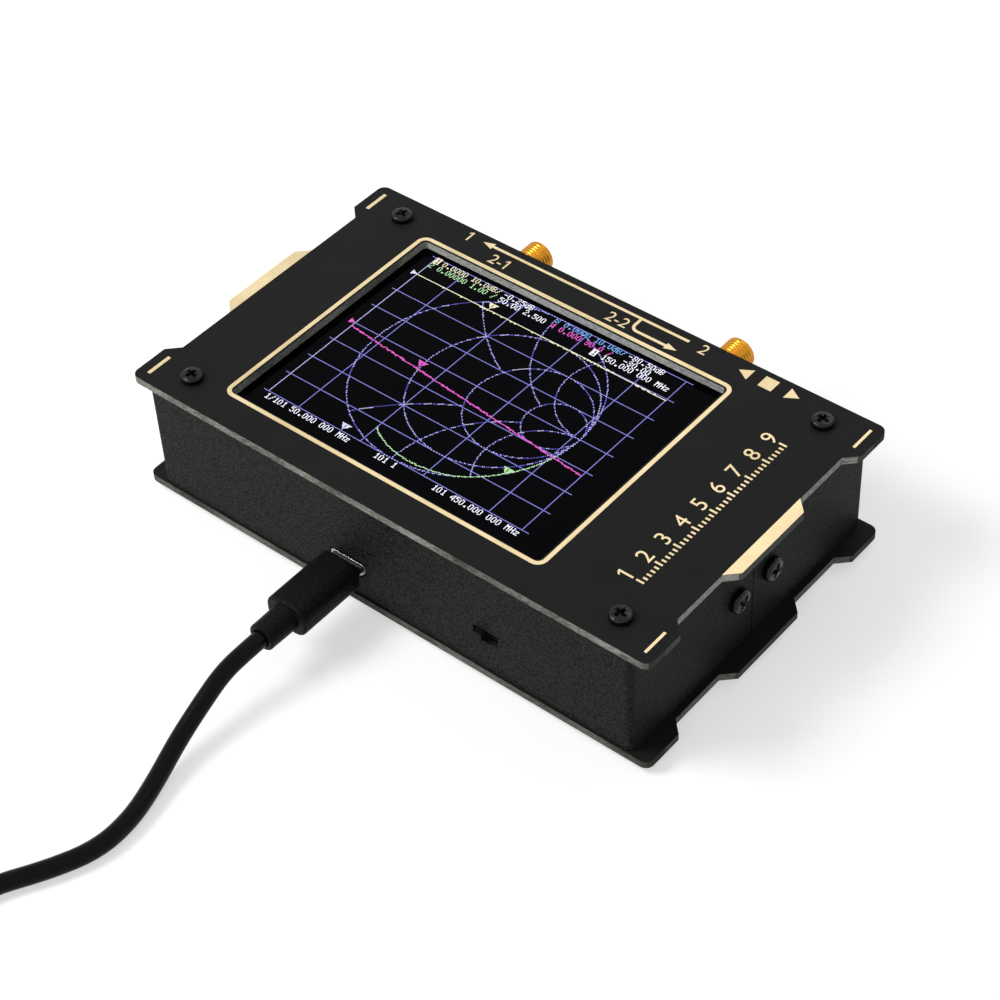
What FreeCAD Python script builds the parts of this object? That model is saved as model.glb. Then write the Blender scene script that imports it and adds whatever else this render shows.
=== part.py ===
# Hand-held antenna analyzer: two printed-circuit cover plates on a folded sheet-metal case,
# a touch display, a main board with two coaxial ports, three push buttons, a slide switch,
# a pouch battery, and a USB lead plugged into the front.
#
# Case frame used while building: X along the length, Y from the front (USB side) to the
# rear (ports), Z up, with the middle of the bottom plate's underside at the origin.
# save() moves each piece so that the object stands on its bottom screw heads and the
# origin is under the middle of its box. All sizes are in millimetres.
import FreeCAD, Part
import math
import os
from FreeCAD import Vector

# ---- cover plates ----
plate_length = 117.0
plate_width = 69.5
plate_thickness = 1.6
plate_corner_radius = 1.7
recess_depth = 2.4              # both ends are cut back this far between their tabs
corner_tab_width = 8.6
centre_tab_width = 17.8
window_margin_left = 0.65       # picture's edge to the window's edge
window_margin_right = 5.05
window_margin_front = 3.9
window_margin_rear = 0.95
window_radius = 1.0
screw_inset_x = 9.9
screw_inset_y = 5.75

# ---- folded case frames ----
frame_height = 23.0
sheet_thickness = 1.0
end_wall_inset = 3.7            # plate's end to the outside of the end wall
side_wall_inset = 0.35
bend_inside_radius = 0.5
seam_gap = 0.15
hole_clearance = 0.25           # around whatever comes through a wall

# ---- machine screws and pillars ----
screw_diameter = 2.0
head_diameter = 4.0
head_height = 1.4
head_edge_radius = 0.6
recess_arm = 2.1                # cross recess, tip to tip
recess_slot = 0.5
recess_sink = 0.8
plate_screw_length = 5.0
base_screw_length = 4.0
end_screw_length = 4.0
screw_hole_clearance = 0.15
thread_clearance = 0.03
pillar_flats = 4.0              # across the flats of the hexagon
pillar_thread_depth = 5.0
stud_length = 3.0
end_screw_spacing = 9.6
end_screw_height = 14.1
joining_bar_thickness = 3.0
joining_bar_width = 18.0
joining_bar_height = 7.0

# ---- main board ----
board_thickness = 1.6
board_gap = 3.3                 # bottom plate to board
board_clearance = 0.2
board_corner_radius = 1.0

# ---- coaxial ports ----
port_left_end_gap = 28.0        # its axis to the plates' left end
port_right_end_gap = 40.8       # its axis to the plates' right end
port_axis_height = 6.6          # above the board
port_thread_diameter = 6.35
port_reach = 14.3               # beyond the outside of the rear wall
port_shoulder_diameter = 6.0    # plain stretch between the block and the thread
port_thread_start = 1.0         # beyond the outside of the rear wall
port_tip_chamfer = 0.2
port_block_width = 7.0
port_block_depth = 8.0
port_block_cap = 3.6            # axis to the top of the block
port_mouth_radius = 2.35
port_mouth_depth = 1.9
port_insulator_radius = 2.05
port_insulator_length = 10.0
port_contact_radius = 0.64
port_contact_bore = 0.47
port_contact_proud = 1.5
port_leg_radius = 0.5
port_leg_spacing = 5.0
port_leg_reach = 0.8            # below the board
leg_clearance = 0.1

# ---- push buttons ----
buttons_end_gap = 23.4          # middle button to the plates' right end
button_pitch = 5.25
button_axis_height = 2.4        # above the board
button_diameter = 2.6
button_reach = 1.0
button_travel = 0.3
button_flange_diameter = 3.3
button_flange_thickness = 0.6
button_housing_width = 4.4
button_housing_depth = 3.4
button_housing_height = 4.6
button_fit = 0.05
dome_thickness = 0.1
dome_height = 0.3
cover_thickness = 0.2

# ---- power slide switch ----
switch_end_gap = 34.85          # its middle to the plates' right end
switch_axis_height = 3.4        # above the board
switch_travel = 2.5
knob_width = 2.0
knob_height = 1.8
knob_reach = 0.9
knob_slot_margin = 0.45
switch_body_length = 9.0
switch_body_depth = 4.4
switch_body_height = 6.4
switch_wall = 0.8
switch_cover_thickness = 0.3
switch_fit = 0.08
slider_depth = 2.6
switch_pin_width = 0.6
switch_pin_pitch = 2.5

# ---- micro USB socket on the board ----
usb_end_gap = 50.6              # its middle to the plates' left end
usb_shell_width = 7.5
usb_shell_height = 2.45
usb_shell_slant = 1.0           # its slanted lower corners, across and up
usb_shell_radius = 0.4
usb_shell_length = 6.4
usb_shell_wall = 0.27
usb_lip = 0.25                  # how far the flared lip stands out all round
usb_lip_depth = 0.3
usb_foot_height = 0.5           # board to the shell's underside
usb_foot_length = 2.0
usb_foot_width = 0.5
usb_tongue_width = 3.7
usb_tongue_thickness = 0.6
usb_tongue_setback = 0.9
usb_block_depth = 1.2

# ---- plug and lead ----
plug_fit = 0.05
plug_shell_wall = 0.25
plug_shell_inserted = 4.7
plug_gap = 1.8                  # wall to moulding when pushed home
moulding_width = 8.96
moulding_height = 6.6
moulding_radius = 2.7
moulding_length = 14.5
moulding_end_radius = 0.5
relief_diameter = 6.4
relief_tip_diameter = 5.6
relief_length = 6.3
cable_diameter = 3.4
coil_outer_turn = 25.5          # radius of the outermost turn's centre line
coil_turns_beside = 4           # widths of cable from the inside to the outside of the coil
coil_layers = 2
coil_x = -39.1
coil_y = -146.0
tail_length = 18.0              # coil to the far plug's relief
tail_drift = 1.3                # how far it strays sideways on the way
far_relief_length = 9.0
far_relief_tip_diameter = 4.4
far_relief_root_diameter = 6.0
far_moulding_width = 15.6
far_moulding_height = 8.0
far_moulding_length = 21.0
far_moulding_radius = 2.0
far_shell_width = 12.0
far_shell_height = 4.5
far_shell_length = 12.0
far_shell_wall = 0.3
far_tongue_thickness = 1.8
far_tongue_setback = 0.6

# ---- display ----
picture_end_gap = 18.6          # picture's left edge to the plates' left end
display_y = 1.1                 # middle of the picture
picture_length = 64.8
picture_width = 48.6
border_left = 2.8               # picture's edge to the panel's edge
border_right = 9.4
border_side = 5.2
tape_thickness = 0.2
tape_setback = 0.2              # from the window's edge
touch_thickness = 1.1
panel_thickness = 1.4
backlight_thickness = 2.0
ribbon_thickness = 0.3
ribbon_width = 26.0
ribbon_reach = 4.6              # how far a folded ribbon stands out from the display
ribbon_bend = 2.5
touch_ribbon_width = 6.0
touch_ribbon_y = -20.0
touch_ribbon_thickness = 0.2
connector_height = 2.4
connector_depth = 5.0
connector_margin = 1.5

# ---- parts on the board ----
can_height = 3.0
can_wall = 0.25
can_gap = 4.0                   # between one can and the next
can_setback = 2.7               # port block to the cans
can_depth = 19.0
port_can_reach = 11.0           # a port's axis to the outer side of its can
middle_can_width = 18.2
middle_can_depth = 30.0
processor_size = 10.0
processor_height = 1.4
processor_usb_pitch = 16.0      # USB socket's middle to the processor's
processor_edge_gap = 5.2        # to the front edge of the board
crystal_length = 5.0
crystal_width = 3.2
crystal_height = 1.2
crystal_gap = 1.5
chip_size = 4.0
chip_height = 0.9
chip_edge_gap = 6.0             # front edge of the board to the first row of chips
chip_usb_pitch = 15.0           # USB socket's middle to the nearest chips
chip_pitch = 6.0
battery_length = 60.0
battery_width = 38.0
battery_thickness = 6.0
battery_end_gap = 22.5          # cell's left end to the plates' left end
battery_y = 1.0
battery_edge_radius = 2.0
pad_thickness = 0.5
pad_width = 12.0
pad_reach = 5.5                 # a port's axis to the end of the tape
front_pad_width = 6.0
battery_wire_diameter = 1.2
battery_wire_spacing = 2.2
battery_wire_run = 3.0
battery_wire_bend = 2.4
battery_plug_width = 5.6
battery_plug_depth = 4.6
battery_plug_height = 4.0

# ---- levels and places that follow from the sizes above ----
board_z = plate_thickness + board_gap
board_top = board_z + board_thickness
lid_z = plate_thickness + frame_height
frame_length = plate_length - 2 * end_wall_inset
frame_width = plate_width - 2 * side_wall_inset
end_outside = frame_length / 2
end_inside = end_outside - sheet_thickness
side_outside = frame_width / 2
side_inside = side_outside - sheet_thickness
screw_x = plate_length / 2 - screw_inset_x
screw_y = plate_width / 2 - screw_inset_y
corners = [(sx * screw_x, sy * screw_y) for sx in (-1, 1) for sy in (-1, 1)]
board_y = side_inside - board_clearance
board_x = end_inside - board_clearance
left_end = -plate_length / 2
right_end = plate_length / 2
port_left_x = left_end + port_left_end_gap
port_right_x = right_end - port_right_end_gap
usb_x = left_end + usb_end_gap
button_middle_x = right_end - buttons_end_gap
switch_x = right_end - switch_end_gap
display_x = left_end + picture_end_gap + picture_length / 2
battery_x = left_end + battery_end_gap + battery_length / 2
port_z = board_top + port_axis_height
window_left = display_x - picture_length / 2 - window_margin_left
window_right = display_x + picture_length / 2 + window_margin_right
window_front = display_y - picture_width / 2 - window_margin_front
window_rear = display_y + picture_width / 2 + window_margin_rear
button_z = board_top + button_axis_height
switch_z = board_top + switch_axis_height
usb_z = board_top + usb_foot_height + usb_shell_height / 2
thread_radius = screw_diameter / 2 + thread_clearance
clear_radius = screw_diameter / 2 + screw_hole_clearance
end_screw_y = (-end_screw_spacing / 2, end_screw_spacing / 2)
front_reach = max(plate_width / 2, side_outside + knob_reach)
rear_reach = max(plate_width / 2, side_outside + port_reach)
to_ground = Vector(0, (front_reach - rear_reach) / 2, head_height)


def box(x0, x1, y0, y1, z0, z1):
    return Part.makeBox(x1 - x0, y1 - y0, z1 - z0, Vector(x0, y0, z0))


def block(x, y, z0, length, width, height):
    """A box centred on x and y that stands at z0."""
    return box(x - length / 2, x + length / 2, y - width / 2, y + width / 2, z0, z0 + height)


def along_x(radius, y, z, x0, x1):
    return Part.makeCylinder(radius, x1 - x0, Vector(x0, y, z), Vector(1, 0, 0))


def along_y(radius, x, z, y0, y1):
    return Part.makeCylinder(radius, y1 - y0, Vector(x, y0, z), Vector(0, 1, 0))


def upright(radius, x, y, z0, z1):
    return Part.makeCylinder(radius, z1 - z0, Vector(x, y, z0))


def rounded_bar(x, z, width, height, radius, y0, y1):
    """A bar along Y whose section is a rounded rectangle."""
    bar = box(x - width / 2, x + width / 2, y0, y1, z - height / 2, z + height / 2)
    radius = min(radius, width / 2 - 0.01, height / 2 - 0.01)
    edges = [e for e in bar.Edges if abs(e.Vertexes[0].Y - e.Vertexes[1].Y) > (y1 - y0) / 2]
    return bar.makeFillet(radius, edges)


def rounded_slab(x0, x1, y0, y1, z0, z1, radius):
    """A slab with its four upright edges rounded."""
    slab = box(x0, x1, y0, y1, z0, z1)
    edges = [e for e in slab.Edges if abs(e.Vertexes[0].Z - e.Vertexes[1].Z) > (z1 - z0) / 2]
    return slab.makeFillet(radius, edges)


def join(shapes):
    return shapes[0].fuse(shapes[1:]).removeSplitter() if len(shapes) > 1 else shapes[0]


def save(name, *solids):
    shape = Part.makeCompound([s.copy() for s in solids]) if len(solids) > 1 else solids[0].copy()
    shape.translate(to_ground)
    shape.exportStep(f"parts/{name}.step")
    good = all(s.isValid() for s in shape.Solids)
    print(f"{name}: {len(shape.Solids)} solid(s), {shape.Volume:.1f} mm3" + ("" if good else "  NOT VALID"))


# ---------------------------------------------------------------- cover plates
def end_profile():
    """Outline of the right end of a plate, from its front corner to its rear corner."""
    outer = plate_length / 2
    inner = outer - recess_depth
    half = plate_width / 2
    tab = half - corner_tab_width
    centre = centre_tab_width / 2
    return [(outer, -half), (outer, -tab), (inner, -tab + recess_depth),
            (inner, -centre - recess_depth), (outer, -centre), (outer, centre),
            (inner, centre + recess_depth), (inner, tab - recess_depth), (outer, tab), (outer, half)]


def plate_blank(z0):
    right = end_profile()
    left = [(-x, -y) for x, y in right]
    points = [Vector(x, y, z0) for x, y in right + left]
    blank = Part.Face(Part.makePolygon(points + points[:1])).extrude(Vector(0, 0, plate_thickness))
    corner_edges = [e for e in blank.Edges if abs(e.Vertexes[0].Z - e.Vertexes[1].Z) > plate_thickness / 2
                    and abs(abs(e.Vertexes[0].X) - plate_length / 2) < 0.01
                    and abs(abs(e.Vertexes[0].Y) - plate_width / 2) < 0.01]
    blank = blank.makeFillet(plate_corner_radius, corner_edges)
    holes = [upright(clear_radius, x, y, z0 - 1, z0 + plate_thickness + 1) for x, y in corners]
    return blank.cut(holes)


def top_plate():
    window = rounded_slab(window_left, window_right, window_front, window_rear,
                          lid_z - 1, lid_z + plate_thickness + 1, window_radius)
    return plate_blank(lid_z).cut(window)


# ---------------------------------------------------------------- folded frames
def frame_ring():
    outer = rounded_slab(-end_outside, end_outside, -side_outside, side_outside,
                         plate_thickness, lid_z, bend_inside_radius + sheet_thickness)
    inner = rounded_slab(-end_inside, end_inside, -side_inside, side_inside,
                         plate_thickness - 1, lid_z + 1, bend_inside_radius)
    holes = [along_x(clear_radius, y, end_screw_height, -end_outside - 1, end_outside + 1) for y in end_screw_y]
    return outer.cut([inner] + holes)


def front_frame():
    half = box(-plate_length, plate_length, -plate_width, -seam_gap / 2, 0, lid_z + 1)
    usb_slot = usb_section(-usb_lip - hole_clearance, -side_outside - 1, -side_inside + 1)
    slot_width = knob_width + switch_travel + 2 * knob_slot_margin
    slot_height = knob_height + 2 * knob_slot_margin
    knob_slot = box(switch_x - slot_width / 2, switch_x + slot_width / 2, -side_outside - 1, -side_inside + 1,
                    switch_z - slot_height / 2, switch_z + slot_height / 2)
    return frame_ring().common(half).cut([usb_slot, knob_slot])


def button_places():
    return [button_middle_x + step * button_pitch for step in (-1, 0, 1)]


def rear_frame():
    half = box(-plate_length, plate_length, seam_gap / 2, plate_width, 0, lid_z + 1)
    radius = port_thread_diameter / 2 + hole_clearance
    holes = [along_y(radius, x, port_z, side_inside - 1, side_outside + 1) for x in (port_left_x, port_right_x)]
    radius = button_diameter / 2 + hole_clearance
    holes += [along_y(radius, x, button_z, side_inside - 1, side_outside + 1) for x in button_places()]
    return frame_ring().common(half).cut(holes)


# ---------------------------------------------------------------- screws and pillars
def screw(length):
    """A pan-head screw that points down, with the underside of its head at z = 0."""
    head = Part.makeCylinder(head_diameter / 2, head_height)
    rim = [e for e in head.Edges if len(e.Vertexes) == 1 and abs(e.Vertexes[0].Z - head_height) < 0.01]
    head = head.makeFillet(head_edge_radius, rim)
    floor = head_height - recess_sink
    cross = [block(0, 0, floor, recess_arm, recess_slot, head_height),
             block(0, 0, floor, recess_slot, recess_arm, head_height)]
    shank = Part.makeCylinder(screw_diameter / 2, length, Vector(0, 0, -length))
    return join([head, shank]).cut(cross)


def screw_at(length, place, axis=Vector(0, 0, 1)):
    shape = screw(length)
    shape.Placement = FreeCAD.Placement(place, FreeCAD.Rotation(Vector(0, 0, 1), axis))
    return shape


def end_screw(side, y):
    return screw_at(end_screw_length, Vector(side * end_outside, y, end_screw_height), Vector(side, 0, 0))


def hexagon(x, y, z0, z1):
    across_corners = pillar_flats / math.cos(math.radians(30)) / 2
    ring = [Vector(x + across_corners * math.cos(math.radians(60 * k)),
                   y + across_corners * math.sin(math.radians(60 * k)), z0) for k in range(6)]
    return Part.Face(Part.makePolygon(ring + ring[:1])).extrude(Vector(0, 0, z1 - z0))


def lower_pillar(x, y):
    body = hexagon(x, y, plate_thickness, board_z)
    stud = upright(screw_diameter / 2, x, y, board_z, board_top + stud_length)
    hole_top = plate_thickness + min(board_gap - 0.6, base_screw_length)
    return join([body, stud]).cut(upright(thread_radius, x, y, plate_thickness - 1, hole_top))


def upper_pillar(x, y):
    holes = [upright(thread_radius, x, y, board_top - 1, board_top + stud_length + 0.5),
             upright(thread_radius, x, y, lid_z - pillar_thread_depth, lid_z + 1)]
    return hexagon(x, y, board_top, lid_z).cut(holes)


def base_screw_reach():
    """The bottom screws stop short of the end of the pillar's thread."""
    return min(base_screw_length, plate_thickness + board_gap - 0.8)


def joining_bar(side):
    x = side * (end_inside - joining_bar_thickness / 2)
    bar = block(x, 0, end_screw_height - joining_bar_height / 2,
                joining_bar_thickness, joining_bar_width, joining_bar_height)
    reach = joining_bar_thickness
    return bar.cut([along_x(thread_radius, y, end_screw_height, x - reach, x + reach) for y in end_screw_y])


# ---------------------------------------------------------------- coaxial ports
def port_leg_places(x):
    middle = board_y - port_block_depth / 2
    half = port_leg_spacing / 2
    return [(x + sx * half, middle + sy * half) for sx in (-1, 1) for sy in (-1, 1)]


def port_body(x):
    block_rear = board_y
    tip = side_outside + port_reach
    body = box(x - port_block_width / 2, x + port_block_width / 2, block_rear - port_block_depth, block_rear,
               board_top, port_z + port_block_cap)
    thread_start = side_outside + port_thread_start
    shoulder = along_y(port_shoulder_diameter / 2, x, port_z, block_rear, thread_start)
    barrel = along_y(port_thread_diameter / 2, x, port_z, thread_start, tip)
    rim = [e for e in barrel.Edges if len(e.Vertexes) == 1 and abs(e.Vertexes[0].Y - tip) < 0.01]
    barrel = barrel.makeChamfer(port_tip_chamfer, rim)
    leg_end = board_z - port_leg_reach
    legs = [upright(port_leg_radius, leg_x, leg_y, leg_end, board_top) for leg_x, leg_y in port_leg_places(x)]
    mouth = along_y(port_mouth_radius, x, port_z, tip - port_mouth_depth, tip + 1)
    bore = along_y(port_insulator_radius, x, port_z, tip - port_mouth_depth - port_insulator_length, tip)
    return join([body, shoulder, barrel] + legs).cut([mouth, bore])


def port_insulator(x):
    front = side_outside + port_reach - port_mouth_depth
    sleeve = along_y(port_insulator_radius, x, port_z, front - port_insulator_length, front)
    return sleeve.cut(along_y(port_contact_radius, x, port_z, front - port_insulator_length - 1, front + 1))


def port_contact(x):
    front = side_outside + port_reach - port_mouth_depth
    tip = front + port_contact_proud
    rod = along_y(port_contact_radius, x, port_z, front - port_insulator_length, tip)
    bore = along_y(port_contact_bore, x, port_z, front - port_contact_proud, tip + 1)
    return rod.cut(bore)


# ---------------------------------------------------------------- push buttons
button_face = board_y                                   # rear face of the switch's steel cover
button_seat = button_face - cover_thickness             # front face of that cover
button_cavity_depth = button_flange_thickness + button_travel + dome_height + 3 * button_fit


def button_housing(x):
    body = box(x - button_housing_width / 2, x + button_housing_width / 2, button_seat - button_housing_depth,
               button_seat, board_top, board_top + button_housing_height)
    return body.cut(along_y(button_flange_diameter / 2 + button_fit, x, button_z,
                            button_seat - button_cavity_depth, button_seat + 1))


def button_cover(x):
    plate = box(x - button_housing_width / 2, x + button_housing_width / 2, button_seat, button_face,
                board_top, board_top + button_housing_height)
    return plate.cut(along_y(button_diameter / 2 + button_fit, x, button_z, button_seat - 1, button_face + 1))


def button_dome(x):
    """The snap dome: a shallow cap that lies on the floor of the cavity."""
    floor = button_seat - button_cavity_depth
    base = button_flange_diameter / 2 - button_fit
    rise = dome_height - dome_thickness
    radius = (base ** 2 + rise ** 2) / (2 * rise)
    centre = Vector(x, floor + rise - radius, button_z)
    shell = Part.makeSphere(radius + dome_thickness, centre).cut(Part.makeSphere(radius, centre))
    return shell.common(along_y(base, x, button_z, floor, floor + dome_height + 0.1))


def button(x):
    flange_rear = button_seat - button_fit
    stem = along_y(button_diameter / 2, x, button_z, flange_rear - button_flange_thickness / 2,
                   side_outside + button_reach)
    rim = [e for e in stem.Edges if len(e.Vertexes) == 1 and e.Vertexes[0].Y > side_outside]
    stem = stem.makeFillet(button_diameter / 8, rim)
    flange_front = flange_rear - button_flange_thickness
    return join([stem, along_y(button_flange_diameter / 2, x, button_z, flange_front, flange_rear)])


# ---------------------------------------------------------------- power switch
switch_front = -board_y                                 # front face of the switch's steel cover
switch_seat = switch_front + switch_cover_thickness     # rear face of that cover
knob_rest_x = switch_x - switch_travel / 2
slider_length = switch_body_length - 2 * switch_wall - switch_travel - 2 * switch_fit
slider_height = switch_body_height - 2 * switch_wall - 2 * switch_fit
switch_left = switch_x - switch_body_length / 2
switch_right = switch_x + switch_body_length / 2
switch_body_top = switch_z + switch_body_height / 2


def power_switch_housing():
    rear = switch_front + switch_body_depth
    body = box(switch_left, switch_right, switch_seat, rear, board_top, switch_body_top)
    cavity = box(switch_left + switch_wall, switch_right - switch_wall, switch_seat - 1,
                 switch_seat + slider_depth + 2 * switch_fit,
                 switch_z - slider_height / 2 - switch_fit, switch_z + slider_height / 2 + switch_fit)
    return body.cut(cavity)


def power_switch_cover():
    plate = box(switch_left, switch_right, switch_front, switch_seat, board_top, switch_body_top)
    slot_half = (knob_width + switch_travel) / 2 + switch_fit
    slot = box(switch_x - slot_half, switch_x + slot_half, switch_front - 1, switch_seat + 1,
               switch_z - knob_height / 2 - switch_fit, switch_z + knob_height / 2 + switch_fit)
    return plate.cut(slot)


def power_switch_knob():
    slider_front = switch_seat + switch_fit
    slider = box(knob_rest_x - slider_length / 2, knob_rest_x + slider_length / 2, slider_front,
                 slider_front + slider_depth, switch_z - slider_height / 2, switch_z + slider_height / 2)
    knob = box(knob_rest_x - knob_width / 2, knob_rest_x + knob_width / 2, -side_outside - knob_reach,
               slider_front + slider_depth / 2, switch_z - knob_height / 2, switch_z + knob_height / 2)
    return join([slider, knob])


def switch_pin_places():
    middle = switch_front + switch_body_depth - switch_wall
    return [(switch_x + step * switch_pin_pitch, middle) for step in (-1, 0, 1)]


def switch_pin(x, y):
    return block(x, y, board_z - port_leg_reach, switch_pin_width, switch_pin_width,
                 board_thickness + port_leg_reach)


# ---------------------------------------------------------------- USB socket and plug
def usb_section(inset, y0, y1):
    """A bar along Y with the socket's outline, wide at the top, made smaller all round by inset."""
    side = usb_shell_width / 2 - inset
    low = usb_z - usb_shell_height / 2 + inset
    high = usb_z + usb_shell_height / 2 - inset
    slant = usb_shell_slant - inset * (2 - math.sqrt(2))
    corners = [(-side, high), (-side, low + slant), (slant - side, low), (side - slant, low),
               (side, low + slant), (side, high), (-side, high)]
    outline = Part.makePolygon([Vector(usb_x + x, y0, z) for x, z in corners])
    bar = Part.Face(outline).extrude(Vector(0, y1 - y0, 0))
    edges = [e for e in bar.Edges if abs(e.Vertexes[0].Y - e.Vertexes[1].Y) > (y1 - y0) / 2]
    return bar.makeFillet(max(usb_shell_radius - inset, 0.05), edges)


usb_rear = -side_outside + usb_shell_length


def usb_socket_shell():
    hollow = usb_section(usb_shell_wall, -side_outside - 1, usb_rear - usb_shell_wall)
    lip = usb_section(-usb_lip, -side_outside, -side_outside + usb_lip_depth)
    foot_reach = usb_shell_width / 2 - usb_shell_slant
    feet = [block(usb_x + side * (foot_reach - usb_foot_width), usb_rear - usb_foot_length, board_top,
                  usb_foot_width, usb_foot_length, usb_foot_height + usb_shell_wall / 2) for side in (-1, 1)]
    return join([usb_section(0, -side_outside, usb_rear), lip] + feet).cut(hollow)


def usb_socket_tongue():
    rear = usb_rear - usb_shell_wall
    base = usb_section(usb_shell_wall, rear - usb_block_depth, rear)
    tongue = box(usb_x - usb_tongue_width / 2, usb_x + usb_tongue_width / 2,
                 -side_outside + usb_tongue_setback, rear - usb_block_depth / 2,
                 usb_z - usb_tongue_thickness / 2, usb_z + usb_tongue_thickness / 2)
    return join([base, tongue])


plug_front = -side_outside - plug_gap                   # the moulding's face nearest the case
relief_end = plug_front - moulding_length - relief_length


def usb_plug_shell():
    tip = -side_outside + plug_shell_inserted
    outside = usb_shell_wall + plug_fit
    hollow = usb_section(outside + plug_shell_wall, plug_front + plug_gap, tip + 1)
    return usb_section(outside, plug_front, tip).cut(hollow)


def usb_plug_moulding():
    rear = plug_front - moulding_length
    grip = rounded_bar(usb_x, usb_z, moulding_width, moulding_height, moulding_radius, rear, plug_front)
    ends = [e for e in grip.Edges if e.BoundBox.YMax < rear + 0.01]
    grip = grip.makeFillet(moulding_end_radius, ends)
    relief = Part.makeCone(relief_tip_diameter / 2, relief_diameter / 2, relief_length + moulding_end_radius,
                           Vector(usb_x, relief_end, usb_z), Vector(0, 1, 0))
    return join([grip, relief])


# ---------------------------------------------------------------- the lead
def ground(x, y, z):
    """A point given from the finished object's origin, in the case frame."""
    return Vector(x, y, z) - to_ground


def lead_route():
    """Corners of the lead's route, from the plug's relief to the coil."""
    start = Vector(usb_x, relief_end, usb_z)
    lie = cable_diameter / 2
    meet_x = coil_x + coil_outer_turn
    return [start, start + Vector(0, -4.6, 0), start + Vector(-0.5, -10.2, -0.9),
            ground(-7.8, -79.6, 6.9), ground(-6.2, -88.2, 4.0), ground(-4.2, -97.2, lie + 0.2),
            ground(-2.9, -105.2, lie), ground(-5.2, -114.0, lie), ground(-10.2, -122.6, lie),
            ground(meet_x + 0.4, coil_y + 14.5, lie), ground(meet_x, coil_y + 7.0, lie),
            ground(meet_x, coil_y, lie)]


def rounded_path(points, report):
    """Straight runs joined by arcs, each as large as its two runs allow."""
    edges = []
    last = points[0]
    for before, here, after in zip(points, points[1:], points[2:]):
        a = before - here
        b = after - here
        turn = math.pi - a.getAngle(b)
        reach = 0.45 * min(a.Length, b.Length)
        radius = reach / math.tan(turn / 2)
        report.append(radius)
        a.normalize()
        b.normalize()
        first = here + a * reach
        final = here + b * reach
        inward = a + b
        inward.normalize()
        middle = here + inward * (radius / math.cos(turn / 2) - radius)
        edges.append(Part.LineSegment(last, first).toShape())
        edges.append(Part.Arc(first, middle, final).toShape())
        last = final
    edges.append(Part.LineSegment(last, points[-1]).toShape())
    return Part.Wire(edges)


def tube(points, diameter, name):
    radii = []
    path = rounded_path(points, radii)
    start = points[1] - points[0]
    section = Part.Wire(Part.makeCircle(diameter / 2, points[0], start))
    solid = path.makePipeShell([section], True, False)
    expected = math.pi * diameter ** 2 / 4 * path.Length
    print(f"{name}: length {path.Length:.1f}, volume ratio {solid.Volume / expected:.4f}, radii",
          [round(r, 1) for r in radii])
    return solid


def coil():
    base = -to_ground.z
    centre = ground(coil_x, coil_y, 0)
    outer = coil_outer_turn + cable_diameter / 2
    inner = outer - coil_turns_beside * cable_diameter
    height = coil_layers * cable_diameter
    return upright(outer, centre.x, centre.y, base, base + height).cut(
        upright(inner, centre.x, centre.y, base - 1, base + height + 1))


tail_x = coil_x + coil_outer_turn
tail_z = coil_layers * cable_diameter - cable_diameter / 2
far_x = tail_x + tail_drift
far_z = far_moulding_height / 2
far_relief_y = coil_y - tail_length
far_moulding_y = far_relief_y - far_relief_length
far_shell_y = far_moulding_y - far_moulding_length


def lead_tail():
    """Corners of the last stretch, from the coil's top layer down to the far plug."""
    return [ground(tail_x, coil_y, tail_z), ground(tail_x, coil_y - tail_length / 3, tail_z),
            ground(far_x, coil_y - 2 * tail_length / 3, far_z),
            ground(far_x, far_relief_y, far_z)]


def far_plug_moulding():
    at = ground(far_x, far_moulding_y, far_z)
    grip = rounded_bar(at.x, at.z, far_moulding_width, far_moulding_height, far_moulding_radius,
                       at.y - far_moulding_length, at.y)
    relief = Part.makeCone(far_relief_tip_diameter / 2, far_relief_root_diameter / 2, far_relief_length,
                           Vector(at.x, at.y + far_relief_length, at.z), Vector(0, -1, 0))
    return join([grip, relief])


def far_section(inset, y0, y1):
    """A box with the far plug shell's outline, made smaller all round by inset."""
    at = ground(far_x, far_shell_y, far_z)
    return block(at.x, at.y + (y0 + y1) / 2, at.z - far_shell_height / 2 + inset,
                 far_shell_width - 2 * inset, y1 - y0, far_shell_height - 2 * inset)


def far_plug_shell():
    hollow = far_section(far_shell_wall, -far_shell_length - 1, -far_shell_wall)
    return far_section(0, -far_shell_length, 0).cut(hollow)


def far_plug_tongue():
    """The plastic tongue fills the upper part of the shell, under its top wall."""
    filling = far_section(far_shell_wall, -far_shell_length + far_tongue_setback, -far_shell_wall)
    box_of = filling.BoundBox
    gap = box(box_of.XMin - 1, box_of.XMax + 1, box_of.YMin - 1, box_of.YMax + 1,
              box_of.ZMin - 1, box_of.ZMax - far_tongue_thickness)
    return filling.cut(gap)


# ---------------------------------------------------------------- display
touch_top = lid_z - tape_thickness
touch_z = touch_top - touch_thickness
panel_z = touch_z - panel_thickness
backlight_z = panel_z - backlight_thickness
module_left = display_x - picture_length / 2 - border_left
module_right = display_x + picture_length / 2 + border_right
module_front = display_y - picture_width / 2 - border_side
module_rear = display_y + picture_width / 2 + border_side


def display_layer(z0, z1, inset=0.0):
    return box(module_left + inset, module_right - inset, module_front + inset, module_rear - inset, z0, z1)


def display_tape():
    """Adhesive tape between the touch glass and the underside of the top plate."""
    outside = display_layer(touch_top, lid_z)
    inside = box(window_left - tape_setback, window_right + tape_setback, window_front - tape_setback,
                 window_rear + tape_setback, touch_top - 1, lid_z + 1)
    return outside.cut(inside)


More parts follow.
